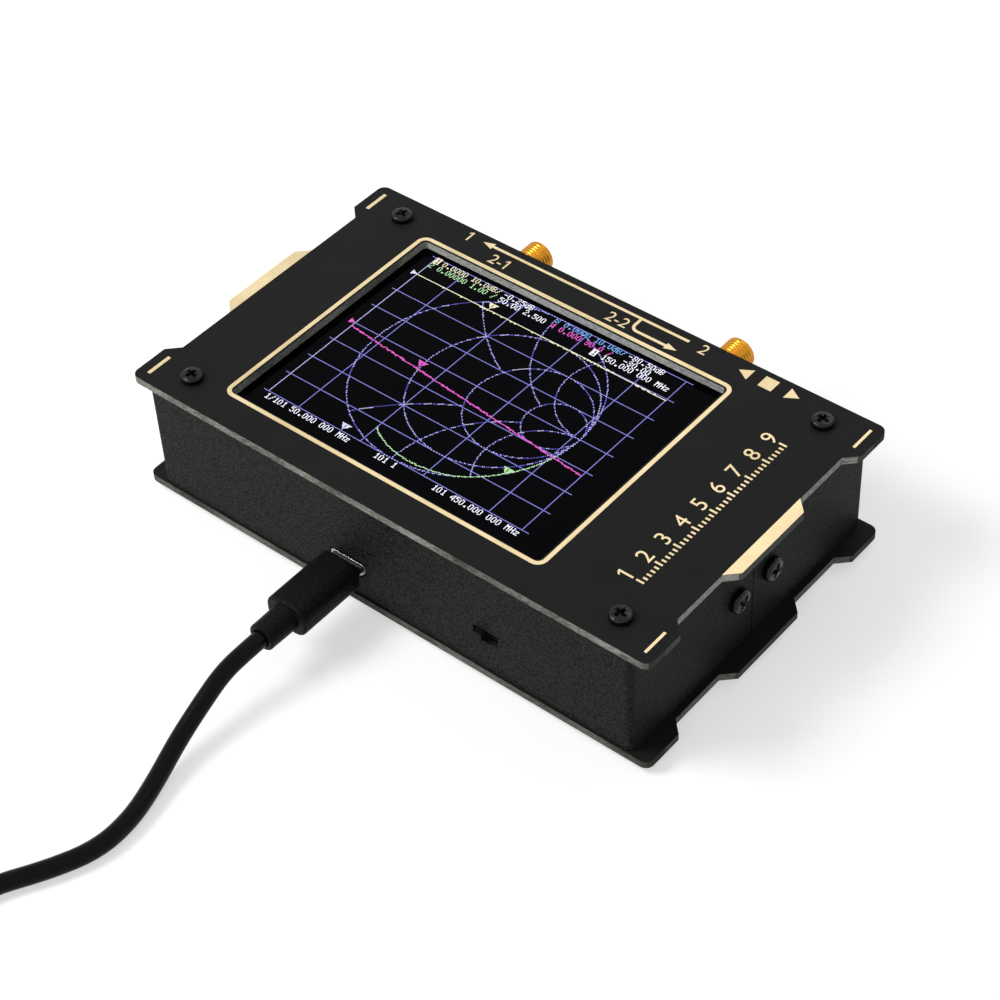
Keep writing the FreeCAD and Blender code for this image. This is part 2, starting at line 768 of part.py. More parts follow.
def folded_ribbon(x, y, z_high, z_low, width, thickness):
    """A flat cable that leaves the display to the right, turns down and comes back to its connector."""
    middle = (z_high + z_low) / 2
    rise = z_high - z_low
    front = y - width / 2
    rear = y + width / 2
    outer = rounded_bar(x, middle, 2 * ribbon_reach, rise + thickness, ribbon_bend, front, rear)
    inner = rounded_bar(x, middle, 2 * (ribbon_reach - thickness), rise - thickness, ribbon_bend - thickness,
                        front - 1, rear + 1)
    return outer.cut(inner).common(box(x, x + ribbon_reach, front, rear, z_low - thickness, z_high + thickness))


def ribbon_connector(x, y, width):
    """A connector on the board whose mouth takes the ribbon that comes from the right."""
    return box(x - connector_depth, x, y - width / 2 - connector_margin, y + width / 2 + connector_margin,
               board_top, board_top + connector_height)


ribbon_low = board_top + connector_height / 2


# ---------------------------------------------------------------- board and what it carries
def main_board():
    board = rounded_slab(-board_x, board_x, -board_y, board_y, board_z, board_top, board_corner_radius)
    holes = [upright(clear_radius, x, y, board_z - 1, board_top + 1) for x, y in corners]
    for x in (port_left_x, port_right_x):
        holes += [upright(port_leg_radius + leg_clearance, leg_x, leg_y, board_z - 1, board_top + 1)
                  for leg_x, leg_y in port_leg_places(x)]
    pin = switch_pin_width + 2 * leg_clearance
    holes += [block(x, y, board_z - 1, pin, pin, board_thickness + 2) for x, y in switch_pin_places()]
    return board.cut(holes)


def shield_can(x0, x1, y0, depth):
    """A five-sided tinplate can, open towards the board."""
    outer = box(x0, x1, y0, y0 + depth, board_top, board_top + can_height)
    inner = box(x0 + can_wall, x1 - can_wall, y0 + can_wall, y0 + depth - can_wall,
                board_top - 1, board_top + can_height - can_wall)
    return outer.cut(inner)


can_rear = board_y - port_block_depth - can_setback
can_y = can_rear - can_depth
can_top = board_top + can_height
middle_can_x = (port_left_x + port_right_x) / 2
middle_can_left = middle_can_x - middle_can_width / 2
middle_can_right = middle_can_x + middle_can_width / 2
middle_can_y = can_rear - middle_can_depth
battery_z = can_top + pad_thickness


def battery():
    cell = box(battery_x - battery_length / 2, battery_x + battery_length / 2, battery_y - battery_width / 2,
               battery_y + battery_width / 2, battery_z, battery_z + battery_thickness)
    edges = [e for e in cell.Edges if abs(e.Vertexes[0].X - e.Vertexes[1].X) > battery_length / 2]
    return cell.makeFillet(min(battery_edge_radius, battery_thickness / 2 - 0.1), edges)


def battery_pads():
    """Double-sided foam tape under the cell: a strip across the three cans, and one on the middle can."""
    left = max(port_left_x - pad_reach, battery_x - battery_length / 2)
    right = min(port_right_x + pad_reach, battery_x + battery_length / 2)
    middle = can_y + can_depth / 2
    strip = box(left, right, middle - pad_width / 2, middle + pad_width / 2, can_top, battery_z)
    patch = block(middle_can_x, middle_can_y + can_wall + front_pad_width / 2, can_top,
                  middle_can_width - 2 * can_wall, front_pad_width, pad_thickness)
    return [strip, patch]


battery_end = battery_x - battery_length / 2
battery_plug_x = battery_end - battery_wire_run - battery_wire_bend
battery_plug_top = board_top + battery_plug_height
battery_wire_z = battery_z + battery_thickness / 2


def battery_wire(step):
    y = battery_y - battery_width / 4 + step * battery_wire_spacing / 2
    start = Vector(battery_end, y, battery_wire_z)
    bend = Vector(battery_plug_x + battery_wire_bend, y, battery_wire_z)
    diagonal = battery_wire_bend * math.sin(math.radians(45))
    middle = Vector(bend.x - diagonal, y, battery_wire_z - battery_wire_bend + diagonal)
    down = Vector(battery_plug_x, y, battery_wire_z - battery_wire_bend)
    end = Vector(battery_plug_x, y, battery_plug_top)
    edges = [Part.LineSegment(start, bend).toShape(), Part.Arc(bend, middle, down).toShape()]
    if down.z - end.z > 0.01:
        edges.append(Part.LineSegment(down, end).toShape())
    section = Part.Wire(Part.makeCircle(battery_wire_diameter / 2, start, Vector(-1, 0, 0)))
    return Part.Wire(edges).makePipeShell([section], True, False)


def battery_connector():
    y = battery_y - battery_width / 4
    return block(battery_plug_x, y, board_top, battery_plug_depth, battery_plug_width, battery_plug_height)


processor_x = usb_x + processor_usb_pitch
processor_y = -board_y + processor_edge_gap + processor_size / 2
crystal_y = processor_y + processor_size / 2 + crystal_gap + crystal_width / 2


def board_chips():
    """Two rows of small packages to the left of the USB socket."""
    first_x = usb_x - chip_usb_pitch
    first_y = -board_y + chip_edge_gap + chip_size / 2
    return [block(first_x - column * chip_pitch, first_y + row * chip_pitch, board_top,
                  chip_size, chip_size, chip_height) for column in range(3) for row in range(2)]


# ---------------------------------------------------------------- build
os.makedirs("parts", exist_ok=True)

save("top_plate", top_plate())
save("bottom_plate", plate_blank(0))
save("front_frame", front_frame())
save("rear_frame", rear_frame())
save("lower_pillars", *[lower_pillar(x, y) for x, y in corners])
save("upper_pillars", *[upper_pillar(x, y) for x, y in corners])
base_reach = base_screw_reach()
plate_top = lid_z + plate_thickness
down = Vector(0, 0, -1)
save("top_plate_screws", *[screw_at(plate_screw_length, Vector(x, y, plate_top)) for x, y in corners])
save("bottom_plate_screws", *[screw_at(base_reach, Vector(x, y, 0), down) for x, y in corners])
save("joining_bars", joining_bar(-1), joining_bar(1))
save("end_screws", *[end_screw(side, y) for side in (-1, 1) for y in end_screw_y])

save("main_board", main_board())
save("shield_can_left", shield_can(port_left_x - port_can_reach, middle_can_left - can_gap, can_y, can_depth))
save("shield_can_right", shield_can(middle_can_right + can_gap, port_right_x + port_can_reach, can_y, can_depth))
save("shield_can_middle", shield_can(middle_can_left, middle_can_right, middle_can_y, middle_can_depth))
save("processor", block(processor_x, processor_y, board_top, processor_size, processor_size, processor_height))
save("reference_crystal",
     block(processor_x, crystal_y, board_top, crystal_length, crystal_width, crystal_height))
save("board_chips", *board_chips())

for side, x in (("left", port_left_x), ("right", port_right_x)):
    save(f"port_{side}_body", port_body(x))
    save(f"port_{side}_insulator", port_insulator(x))
    save(f"port_{side}_contact", port_contact(x))

save("button_housings", *[button_housing(x) for x in button_places()])
save("button_covers", *[button_cover(x) for x in button_places()])
save("button_domes", *[button_dome(x) for x in button_places()])
for name, x in zip(("button_left", "button_select", "button_right"), button_places()):
    save(name, button(x))

save("power_switch_housing", power_switch_housing())
save("power_switch_cover", power_switch_cover())
save("power_switch_knob", power_switch_knob())
save("power_switch_pins", *[switch_pin(x, y) for x, y in switch_pin_places()])

save("usb_socket_shell", usb_socket_shell())
save("usb_socket_tongue", usb_socket_tongue())

save("battery_cell", battery())
save("battery_pads", *battery_pads())
save("battery_wires", battery_wire(-1), battery_wire(1))
save("battery_connector", battery_connector())

save("display_tape", display_tape())
save("touch_panel", display_layer(touch_z, touch_top))
save("display_panel", display_layer(panel_z, touch_z))
save("display_backlight", display_layer(backlight_z, panel_z))
save("display_ribbon", folded_ribbon(module_right, display_y, panel_z + panel_thickness / 2, ribbon_low,
                                     ribbon_width, ribbon_thickness))
save("touch_ribbon", folded_ribbon(module_right, touch_ribbon_y, touch_z + touch_thickness / 2, ribbon_low,
                                   touch_ribbon_width, touch_ribbon_thickness))
save("ribbon_connectors", ribbon_connector(module_right, display_y, ribbon_width),
     ribbon_connector(module_right, touch_ribbon_y, touch_ribbon_width))

save("usb_plug_shell", usb_plug_shell())
save("usb_plug_moulding", usb_plug_moulding())
save("lead_cable", tube(lead_route(), cable_diameter, "lead_cable"))
save("lead_coil", coil())
save("lead_tail", tube(lead_tail(), cable_diameter, "lead_tail"))
save("far_plug_moulding", far_plug_moulding())
save("far_plug_shell", far_plug_shell())
save("far_plug_tongue", far_plug_tongue())
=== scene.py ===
# Looks of the hand-held antenna analyzer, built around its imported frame.
# Sizes in the dictionaries are in millimetres, meshes are in metres.
import math
import random

import bmesh
import bpy
from mathutils import Euler, Matrix, Vector


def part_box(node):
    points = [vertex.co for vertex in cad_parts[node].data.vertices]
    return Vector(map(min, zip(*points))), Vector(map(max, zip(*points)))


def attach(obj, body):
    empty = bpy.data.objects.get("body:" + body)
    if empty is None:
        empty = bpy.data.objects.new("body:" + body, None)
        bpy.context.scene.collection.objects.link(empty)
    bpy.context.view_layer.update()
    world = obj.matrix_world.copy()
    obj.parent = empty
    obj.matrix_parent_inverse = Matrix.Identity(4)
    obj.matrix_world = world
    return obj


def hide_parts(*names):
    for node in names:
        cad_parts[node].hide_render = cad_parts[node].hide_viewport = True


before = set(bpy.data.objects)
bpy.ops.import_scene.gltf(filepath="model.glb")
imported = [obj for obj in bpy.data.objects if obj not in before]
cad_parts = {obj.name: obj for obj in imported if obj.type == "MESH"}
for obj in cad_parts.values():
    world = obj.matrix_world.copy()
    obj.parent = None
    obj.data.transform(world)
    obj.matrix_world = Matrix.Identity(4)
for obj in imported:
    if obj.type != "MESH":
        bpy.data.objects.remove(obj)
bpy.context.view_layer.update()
mm = 0.001
plateLow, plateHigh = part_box("top_plate")
plateLength = (plateHigh.x - plateLow.x) / mm
plateWidth = (plateHigh.y - plateLow.y) / mm
caseMiddle = (plateLow + plateHigh) / 2
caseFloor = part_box("bottom_plate")[0].z
topLevel = (plateHigh.z - caseFloor) / mm
print("frame: loaded", len(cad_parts), "nodes")


def inCase(x, y, z=0.0):  # mm from the middle of the case's underside
    return Vector((caseMiddle.x + x * mm, caseMiddle.y + y * mm, caseFloor + z * mm))


def addObject(name, data):
    made = bpy.data.objects.new(name, data)
    bpy.context.scene.collection.objects.link(made)
    return made


view = {  # angles in degrees
    "place": (219.17, -256.46, 328.24),
    "azimuth": 41.497,
    "elevation": 44.383,
    "roll": -3.124,
    "lens": 90.8,
    "sensor": 36.0,
    "clip": (10, 20000),
}


def addCamera():
    azimuth, elevation, roll = (math.radians(view[key]) for key in ("azimuth", "elevation", "roll"))
    data = bpy.data.cameras.new("camera")
    data.lens = view["lens"]
    data.sensor_width = view["sensor"]
    data.clip_start, data.clip_end = (distance * mm for distance in view["clip"])
    camera = addObject("camera", data)
    turn = Euler((math.pi / 2 - elevation, 0, azimuth)).to_matrix().to_4x4() @ Matrix.Rotation(roll, 4, "Z")
    camera.matrix_world = Matrix.Translation(Vector(view["place"]) * mm) @ turn
    bpy.context.scene.camera = camera


addCamera()
print("camera: set")


def linear(code):  # "#rrggbb" as the eye sees it, to the renderer's linear colour
    parts = [int(code[i:i + 2], 16) / 255 for i in (1, 3, 5)]
    return tuple(c / 12.92 if c <= 0.04045 else ((c + 0.055) / 1.055) ** 2.4 for c in parts) + (1.0,)


# Inputs come in their order or by key. Each is a value, a socket, or a node, which stands for the first of
# its outputs in use.
def addNode(tree, kind, inputs=(), **settings):
    made = tree.nodes.new(kind if "Node" in kind else "ShaderNode" + kind)
    for name, value in settings.items():
        setattr(made, name, value)
    for key, value in inputs.items() if isinstance(inputs, dict) else enumerate(inputs):
        if isinstance(value, bpy.types.Node):
            value = next(socket for socket in value.outputs if socket.enabled)
        if isinstance(value, bpy.types.NodeSocket):
            tree.links.new(value, made.inputs[key])
        else:
            made.inputs[key].default_value = value
    return made


def addPiece(name, data, body, material=None, replaced=()):
    if material:
        data.materials.clear()
        data.materials.append(material)
    piece = addObject(name, data)
    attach(piece, body)
    if replaced:
        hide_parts(*replaced)
    return piece


# unit is what 1 in the work is in metres; with smooth None the faces stay as they are.
def meshFrom(work, name, smooth=False, unit=mm):
    bmesh.ops.scale(work, vec=(unit, unit, unit), verts=work.verts)
    mesh = bpy.data.meshes.new(name)
    work.to_mesh(mesh)
    work.free()
    if smooth is not None:
        mesh.polygons.foreach_set("use_smooth", [smooth] * len(mesh.polygons))
    return mesh


def evaluatedMesh(holder):
    bpy.context.view_layer.update()
    plain = bpy.data.meshes.new_from_object(holder.evaluated_get(bpy.context.evaluated_depsgraph_get()))
    bpy.data.objects.remove(holder)
    return plain


def addBand(work, lower, upper):  # faces between two closed rows of points; a pole is one point, repeated
    for corners in zip(lower, lower[1:] + lower[:1], upper[1:] + upper[:1], upper):
        work.faces.new(list(dict.fromkeys(corners)))


def addSlab(work, loop, low, high, upper=None):  # outlines run anticlockwise; upper is a top that differs
    bottom = [work.verts.new((x, y, low)) for x, y in loop]
    top = [work.verts.new((x, y, high)) for x, y in upper or loop]
    work.faces.new(bottom[::-1])
    work.faces.new(top)
    addBand(work, bottom, top)


def roundedOutline(box, radius, steps=8):
    x0, x1, y0, y1 = box
    points = []
    for cx, cy, start in ((x1 - radius, y0 + radius, -90), (x1 - radius, y1 - radius, 0),
                          (x0 + radius, y1 - radius, 90), (x0 + radius, y0 + radius, 180)):
        for k in range(steps + 1):
            angle = math.radians(start + 90 * k / steps)
            points.append((cx + radius * math.cos(angle), cy + radius * math.sin(angle)))
    return points


bevelSegments = 2


def addBevel(piece, width, angle):  # the small rounding of a real edge, from this angle on
    edge = piece.modifiers.new("edge", "BEVEL")
    edge.width = width * mm
    edge.segments = bevelSegments
    edge.limit_method = "ANGLE"
    edge.angle_limit = math.radians(angle)
    edge.use_clamp_overlap = False
    edge.harden_normals = True


# Lead: one smooth line from the near plug's relief, round the coil, to the far plug.
leadSizes = {
    "diameter": 3.4,
    "length": 970.0,
    "coilCentre": (-39.1, -146.0),
    "outerTurn": 25.5,
    "innerTurn": 15.3,
    "layers": (1.7, 5.1),
    "turnsPerLayer": 3,
    "pointsPerTurn": 18,
    "order": 3,
    "stepsAlong": 5,
    "stepsRound": 6,
    "toCoil": [(-7.9, -63.7, 9.6), (-7.9, -67.0, 9.6), (-8.6, -72.5, 8.3), (-8.0, -79.0, 6.2),
               (-7.1, -86.0, 3.9), (-5.1, -93.5, 2.1), (-2.9, -101.5, 1.7), (-2.8, -109.5, 1.7),
               (-6.4, -117.5, 1.7), (-11.1, -125.0, 1.7), (-13.1, -132.0, 1.7), (-13.6, -139.0, 1.7)],
    "toPlug": [(-13.6, -152.0, 5.1), (-12.3, -158.0, 4.0), (-12.3, -164.0, 4.0)],
}


def coilPoints():
    turns = leadSizes["turnsPerLayer"]
    outer, inner = leadSizes["outerTurn"], leadSizes["innerTurn"]
    low, high = leadSizes["layers"]
    middleX, middleY = leadSizes["coilCentre"]
    perTurn = leadSizes["pointsPerTurn"]
    swell = 2 / (1 + math.cos(math.pi / perTurn))  # the spline runs a little inside its points
    points = []
    for k in range((2 * turns + 1) * perTurn + 1):
        turn = k / perTurn
        climb = min(max(turn - turns, 0), 1)
        wound = turn if turn < turns else turns if turn < turns + 1 else 2 * turns + 1 - turn
        radius = (outer - (outer - inner) * wound / turns) * swell
        angle = -2 * math.pi * turn
        points.append((middleX + radius * math.cos(angle), middleY + radius * math.sin(angle),
                       low + (high - low) * climb))
    return points


def addLead():
    route = leadSizes["toCoil"] + coilPoints() + leadSizes["toPlug"]
    curve = bpy.data.curves.new("lead_cord", "CURVE")
    curve.dimensions = "3D"
    curve.bevel_depth = leadSizes["diameter"] / 2  # times each point's radius of 1 mm
    curve.bevel_resolution = leadSizes["stepsRound"]
    curve.resolution_u = leadSizes["stepsAlong"]
    curve.use_fill_caps = True
    spline = curve.splines.new("NURBS")
    spline.points.add(len(route) - 1)
    for point, (x, y, z) in zip(spline.points, route):
        point.co = (x * mm, y * mm, z * mm, 1)
        point.radius = mm
    spline.order_u = leadSizes["order"]
    spline.use_endpoint_u = True
    replaced = ["lead_cable", "lead_coil", "lead_tail"]
    return addPiece("lead_cord", curve, "usb_lead", None, replaced)


lead = addLead()
print("lead: laid")


# What each finish is, then its colour and the one that it drifts to; the patches of that drift, the grain
# and the grain's depth; the lowest and highest roughness; and what else sets it apart, such as a pattern that
# is squeezed along an axis (stretch) or colours that change over sharply (contrast).
finishes = {
    # folded sheet, powder coated with a fine texture: grains of a few tenths of a millimetre
    "black_powder_coat": (
        "#080809", "#303031", 0.4, 0.34, 0.13, 0.42, 0.62, dict(specular=0.05, contrast=3.6)),
    # machine screws under black zinc: glossy, so that the recess and the rim catch the light
    "black_screw_steel": (
        "#010101", "#121214", 0.3, 0.22, 0.03, 0.07, 0.2, dict(specular=0.22, contrast=3.0)),
    # hexagon pillars turned from brass bar: faint turning lines
    "pillar_brass": (
        "#c8a25a", "#b08a45", 2.0, 0.1, 0.004, 0.24, 0.36, dict(metallic=1.0, stretch=(1, 1, 4))),
    # rolled steel bar under bright zinc
    "bar_steel": (
        "#b9bcc0", "#a3a7ad", 3.0, 0.25, 0.004, 0.28, 0.42, dict(metallic=1.0, stretch=(1, 0.2, 1))),
    # stamped tinplate: smooth and bright, with long rolling lines
    "tinplate": (
        "#c4c5c2", "#b2b4b3", 4.0, 0.2, 0.003, 0.2, 0.34, dict(metallic=1.0, stretch=(0.15, 1, 1))),
    # chip bodies moulded in filled epoxy: dull, very fine grain
    "chip_epoxy": ("#1d1e20", "#26272a", 0.5, 0.1, 0.006, 0.55, 0.7, dict(specular=0.4)),
    # gold-tin lid of a crystal
    "crystal_can": ("#c9bfa6", "#b5ab94", 1.2, 0.15, 0.002, 0.22, 0.34, dict(metallic=1.0)),
    # brass turned on a lathe and plated with hard gold: warm, with fine rings left by the tool
    "port_gold": (
        "#dc9d34", "#b97a1e", 1.6, 0.16, 0.003, 0.12, 0.24, dict(metallic=1.0, stretch=(0.3, 2.5, 0.3))),
    # turned fluoropolymer: white and waxy
    "port_white_plastic": ("#ecebe4", "#dedcd2", 0.8, 0.2, 0.004, 0.35, 0.48, dict(specular=0.45)),
    # glass-filled nylon, moulded black, with a fine satin face
    "switch_black_plastic": ("#0c0c0d", "#191919", 0.6, 0.14, 0.008, 0.38, 0.52, dict(specular=0.06)),
    # the same plastic deep inside a slot, matt from the mould, and darker as painted shade of the slot
    "switch_plastic_painted_shade": ("#020202", "#060606", 0.6, 0.14, 0.008, 0.6, 0.75, dict(specular=0.02)),
    # drawn stainless shells under nickel: drawing lines run along the shell
    "usb_steel": (
        "#b4b4b2", "#8f8f8d", 1.5, 0.3, 0.002, 0.16, 0.28, dict(metallic=1.0, stretch=(1.5, 0.15, 1.5))),
    # the same shell on the lead, its steel darkened as painted shade of the shadow it sits in between socket
    # and grip: it only shows where the light glances off an edge
    "plug_steel_painted_shade": (
        "#1b1b1c", "#101011", 1.5, 0.3, 0.002, 0.2, 0.32, dict(metallic=0.8, stretch=(1.5, 0.15, 1.5))),
    # liquid-crystal polymer tongue, black
    "usb_black_plastic": ("#101011", "#19191a", 0.5, 0.1, 0.004, 0.4, 0.5, dict(specular=0.4)),
    # the same, in natural white
    "far_tongue_plastic": ("#e6e6e2", "#d8d8d2", 0.8, 0.12, 0.004, 0.36, 0.46, dict(specular=0.45)),
    # aluminium laminate pouch: satin silver, creased where it was vacuum sealed
    "battery_pouch": ("#b3b6ba", "#9fa3a8", 6.0, 2.2, 0.12, 0.3, 0.45, dict(metallic=0.7)),
    # acrylic foam tape: open cells, no shine
    "foam_tape": ("#1c1c1c", "#2a2a2a", 0.5, 0.25, 0.05, 0.85, 0.95, dict(specular=0.2)),
    # silicone-insulated wire: soft sheen
    "wire_insulation": ("#8c1f1c", "#7a1815", 1.5, 0.2, 0.004, 0.4, 0.52, dict(specular=0.4)),
    # connector housings moulded in natural nylon: cream, lightly mottled
    "connector_white": ("#e3dccb", "#d6cdb9", 1.2, 0.2, 0.006, 0.42, 0.55, dict(specular=0.4)),
    # display module: glass sandwich, black from the rear polariser
    "display_glass": ("#050507", "#08080b", 4.0, 1.5, 0.001, 0.08, 0.16, dict(specular=0.3)),
    # white polycarbonate frame of the light guide
    "backlight_frame": ("#dcdcdc", "#cfcfcf", 2.0, 0.3, 0.004, 0.4, 0.5, dict(specular=0.45)),
    # flexible circuit: amber polyimide over copper
    "ribbon_film": ("#9a5c1a", "#b06c22", 0.9, 0.4, 0.006, 0.28, 0.4, dict(stretch=(0.2, 1.6, 1))),
    # soft thermoplastic overmould, spark-eroded mould face: even pimples and a dull sheen
    "lead_moulding": ("#030303", "#1d1d1d", 0.3, 0.28, 0.16, 0.26, 0.46, dict(specular=0.05, contrast=3.4)),
    # extruded PVC jacket: smooth, satin, with long soft draw marks
    "lead_jacket": ("#030303", "#080808", 2.5, 0.5, 0.005, 0.12, 0.18, dict(specular=0.09)),
    # immersion gold over nickel on copper foil: pale and satin, because the etched foil isn't polished
    "immersion_gold": (
        "#d8c396", "#ead7ae", 8.0, 0.3, 0.004, 0.38, 0.5,
        dict(metallic=0.9, details=(2.0, 3.0), mottle=(0.15, 0.36))),
}
noiseMiddle = (0.3, 0.7)  # nearly all of a noise's values lie between these
noiseDetails = (3.0, 2.0)  # of a finish's patches and of its grain


def startMaterial(name):  # also gives the coordinates that its patterns follow
    material = bpy.data.materials.new(name)
    material.use_nodes = True
    material.node_tree.nodes.clear()
    return material, material.node_tree, addNode(material.node_tree, "TexCoord").outputs["Object"]


def endMaterial(material, surface):
    shader = addNode(material.node_tree, "BsdfPrincipled", surface)
    addNode(material.node_tree, "OutputMaterial", {"Surface": shader})
    return material


def finishMaterial(name, base, drift, patch, grain, depth, smoothest, roughest, other):
    material, tree, place = startMaterial(name)
    place = addNode(tree, "Mapping", {"Vector": place, "Scale": other.get("stretch", (1, 1, 1))})
    patches, grains = (
        addNode(tree, "TexNoise", {"Vector": place, "Scale": 1 / (size * mm), "Detail": detail})
        for size, detail in zip((patch, grain), other.get("details", noiseDetails)))
    spread = 0.5 / other.get("contrast", 1.0)
    driftBetween = other.get("mottle", (0.5 - spread, 0.5 + spread))
    if "mottle" in other:  # the grain breaks up the patches
        patches = addNode(tree, "Math", [grains, patches], operation="MULTIPLY")
    share = addNode(tree, "MapRange", [patches, *driftBetween])
    tint = addNode(tree, "Mix", {0: share, 6: linear(base), 7: linear(drift)}, data_type="RGBA")
    shine = addNode(tree, "MapRange", [grains, *noiseMiddle, smoothest, roughest])
    relief = addNode(tree, "Bump", {"Height": grains, "Distance": depth * mm})
    return endMaterial(material, {
        "Base Color": tint, "Roughness": shine, "Normal": relief, "Metallic": other.get("metallic", 0.0),
        "Specular IOR Level": other.get("specular", 0.5)})


# Glass-fibre laminate under solder mask: satin faces, and cut edges that show pale glass plies.
laminateLook = {
    "masks": {"black_solder_mask": ("#1b1b1b", "#222222"), "board_laminate": ("#12401f", "#1a5029")},
    "maskPatch": 9.0,
    "maskGrain": 0.35,
    "maskDepth": 0.006,
    "maskRough": (0.42, 0.52),
    "maskFrom": 0.45,           # faces that look this much upwards or downwards carry the mask
    "edge": "#4a5047",
    "edgePale": "#a6aa9f",
    "edgePatch": 14.0,          # the pale plies come and go over this length
    "edgePaleness": (0.17, 0.34),
    "edgeDepth": 0.06,
    "edgeRough": 0.85,
    "edgeShade": "#3f433b",       # painted shade: the colour that the outermost edges and the lower plate's edges are darkened towards
    "endFrom": 58.1,            # mm from the middle
    "endShare": 0.8,
    "lowFrom": -10.0,           # mm from the upper plate: the lower one, whose edges get painted shade
    "lowShare": 0.55,
    "routed": "#c9c9c4",        # torn fibre where the cutter went in: the ends' recesses and the window
    "routedFrom": 54.9,
    "routedHalfWidth": 30.0,
    "torn": (0.38, 0.6, 0.25, 1.0),  # fibre noise from and to, and how torn the edge is there
    "windowHalf": 45.0,
    "windowSideShade": -0.75,       # how much of the pale fibre the window's short sides lose, as painted shade
    "ply": 0.2,                 # thickness of one layer of glass
    "fibreDetail": 4.0,
    "fibreRough": 0.65,
    "fibreRun": 1.1,            # how far a streak runs along the edge
    "specular": 0.04,
}


def laminateMaterial(name, mask, maskDrift):
    look = laminateLook
    material, tree, place = startMaterial(name)
    fibreScale = [1 / (look[size] * mm) for size in ("fibreRun", "fibreRun", "ply")]
    streaked = addNode(tree, "Mapping", {"Vector": place, "Scale": fibreScale})
    fibres = addNode(tree, "TexNoise", {"Vector": streaked, "Scale": 1.0, "Detail": look["fibreDetail"],
                                        "Roughness": look["fibreRough"]})
    drifting, pools, grain = (
        addNode(tree, "TexNoise", {"Vector": place, "Scale": 1 / (look[size] * mm), "Detail": detail})
        for size, detail in (("edgePatch", 2.0), ("maskPatch", 3.0), ("maskGrain", 2.0)))
    facing = addNode(tree, "SeparateXYZ", [place.node.outputs["Normal"]]).outputs
    centred = addNode(tree, "Mapping", {"Vector": place, "Location": [-part for part in caseMiddle]})
    spot = addNode(tree, "SeparateXYZ", [centred]).outputs
    known = {"speckle": addNode(tree, "MapRange", [fibres, *look["torn"]])}
    for result, operation, *parts in (
            ("upright", "ABSOLUTE", facing["Z"]), ("onFace", "GREATER_THAN", "upright", look["maskFrom"]),
            ("paleness", "MULTIPLY", fibres, drifting),
            ("along", "ABSOLUTE", spot["X"]), ("across", "ABSOLUTE", spot["Y"]),
            ("inRecess", "GREATER_THAN", "along", look["routedFrom"] * mm),
            ("inWindow", "LESS_THAN", "along", look["windowHalf"] * mm),
            # painted shade: the window's short sides, which face along X, keep less of the pale fibre
            ("sideways", "ABSOLUTE", facing["X"]),
            ("sideShadeFactor", "MULTIPLY_ADD", "sideways", look["windowSideShade"], 1.0),
            ("cutWindow", "MULTIPLY", "inWindow", "sideShadeFactor"), ("either", "MAXIMUM", "inRecess", "cutWindow"),
            ("narrow", "LESS_THAN", "across", look["routedHalfWidth"] * mm),
            ("routed", "MULTIPLY", "either", "narrow"), ("torn", "MULTIPLY", "routed", "speckle"),
            # painted shade on the cut edges: darker at the outermost ends and on the lower plate
            ("atEnd", "GREATER_THAN", "along", look["endFrom"] * mm),
            ("outer", "MULTIPLY", "atEnd", look["endShare"]),
            ("below", "LESS_THAN", spot["Z"], look["lowFrom"] * mm),
            ("low", "MULTIPLY", "below", look["lowShare"]),
            ("paintedEdgeShade", "MAXIMUM", "outer", "low")):
        inputs = [known[part] if isinstance(part, str) else part for part in parts]
        known[result] = addNode(tree, "Math", inputs, operation=operation)
    palePart = addNode(tree, "MapRange", [known["paleness"], *look["edgePaleness"]])
    edge = addNode(tree, "Mix", {0: palePart, 6: linear(look["edge"]), 7: linear(look["edgePale"])},
                   data_type="RGBA")
    pale = addNode(tree, "Mix", {0: known["torn"], 6: edge, 7: linear(look["routed"])}, data_type="RGBA")
    # the painted shade is mixed into the cut edges here
    cut = addNode(tree, "Mix", {0: known["paintedEdgeShade"], 6: pale, 7: linear(look["edgeShade"])}, data_type="RGBA")
    face = addNode(tree, "Mix", {0: pools, 6: linear(mask), 7: linear(maskDrift)}, data_type="RGBA")
    colour = addNode(tree, "Mix", {0: known["onFace"], 6: cut, 7: face}, data_type="RGBA")
    satin = addNode(tree, "MapRange", [grain, *noiseMiddle, *look["maskRough"]])
    shine, height, deep = (addNode(tree, "Mix", {0: known["onFace"], 2: onEdge, 3: onMask})
                           for onEdge, onMask in ((look["edgeRough"], satin), (fibres, grain),
                                                  (look["edgeDepth"] * mm, look["maskDepth"] * mm)))
    relief = addNode(tree, "Bump", {"Height": height, "Distance": deep})
    return endMaterial(material, {"Base Color": colour, "Roughness": shine, "Normal": relief,
                                  "Specular IOR Level": look["specular"]})


# Touch glass with a dark picture behind it: black, glossy, with the faint smears that fingers leave.
glassLook = {"colour": "#020204", "specular": 0.02, "ior": 1.5, "smear": 11.0, "detail": 4.0,
             "distortion": 0.6, "haze": (0.45, 0.75, 0.04, 0.16)}


def glassMaterial():
    material, tree, place = startMaterial("touch_glass")
    smears = addNode(tree, "TexNoise", {"Vector": place, "Scale": 1 / (glassLook["smear"] * mm),
                                        "Detail": glassLook["detail"],
                                        "Distortion": glassLook["distortion"]})
    haze = addNode(tree, "MapRange", [smears, *glassLook["haze"]])
    return endMaterial(material, {"Base Color": linear(glassLook["colour"]), "Roughness": haze,
                                  "IOR": glassLook["ior"],
                                  "Specular IOR Level": glassLook["specular"]})


# Lit pixels of a liquid crystal: they give off their own colour, a little uneven from one to the next.
litPixels = {
    "grid": ("#918ee8", 1.3), "arcs": ("#706be2", 1.1), "dots": ("#dedaff", 1.6),
    "white": ("#f1f2ff", 1.9), "cream": ("#fbf3d0", 1.6), "magenta": ("#f767da", 1.5),
    "green": ("#bff2b6", 1.5), "blue": ("#7fb4f5", 1.6), "pale": ("#dfe8ff", 1.6),
}
litLook = {"unlit": "#050508", "rough": 0.2, "specular": 0.1, "patch": 0.5, "dullest": 0.6}


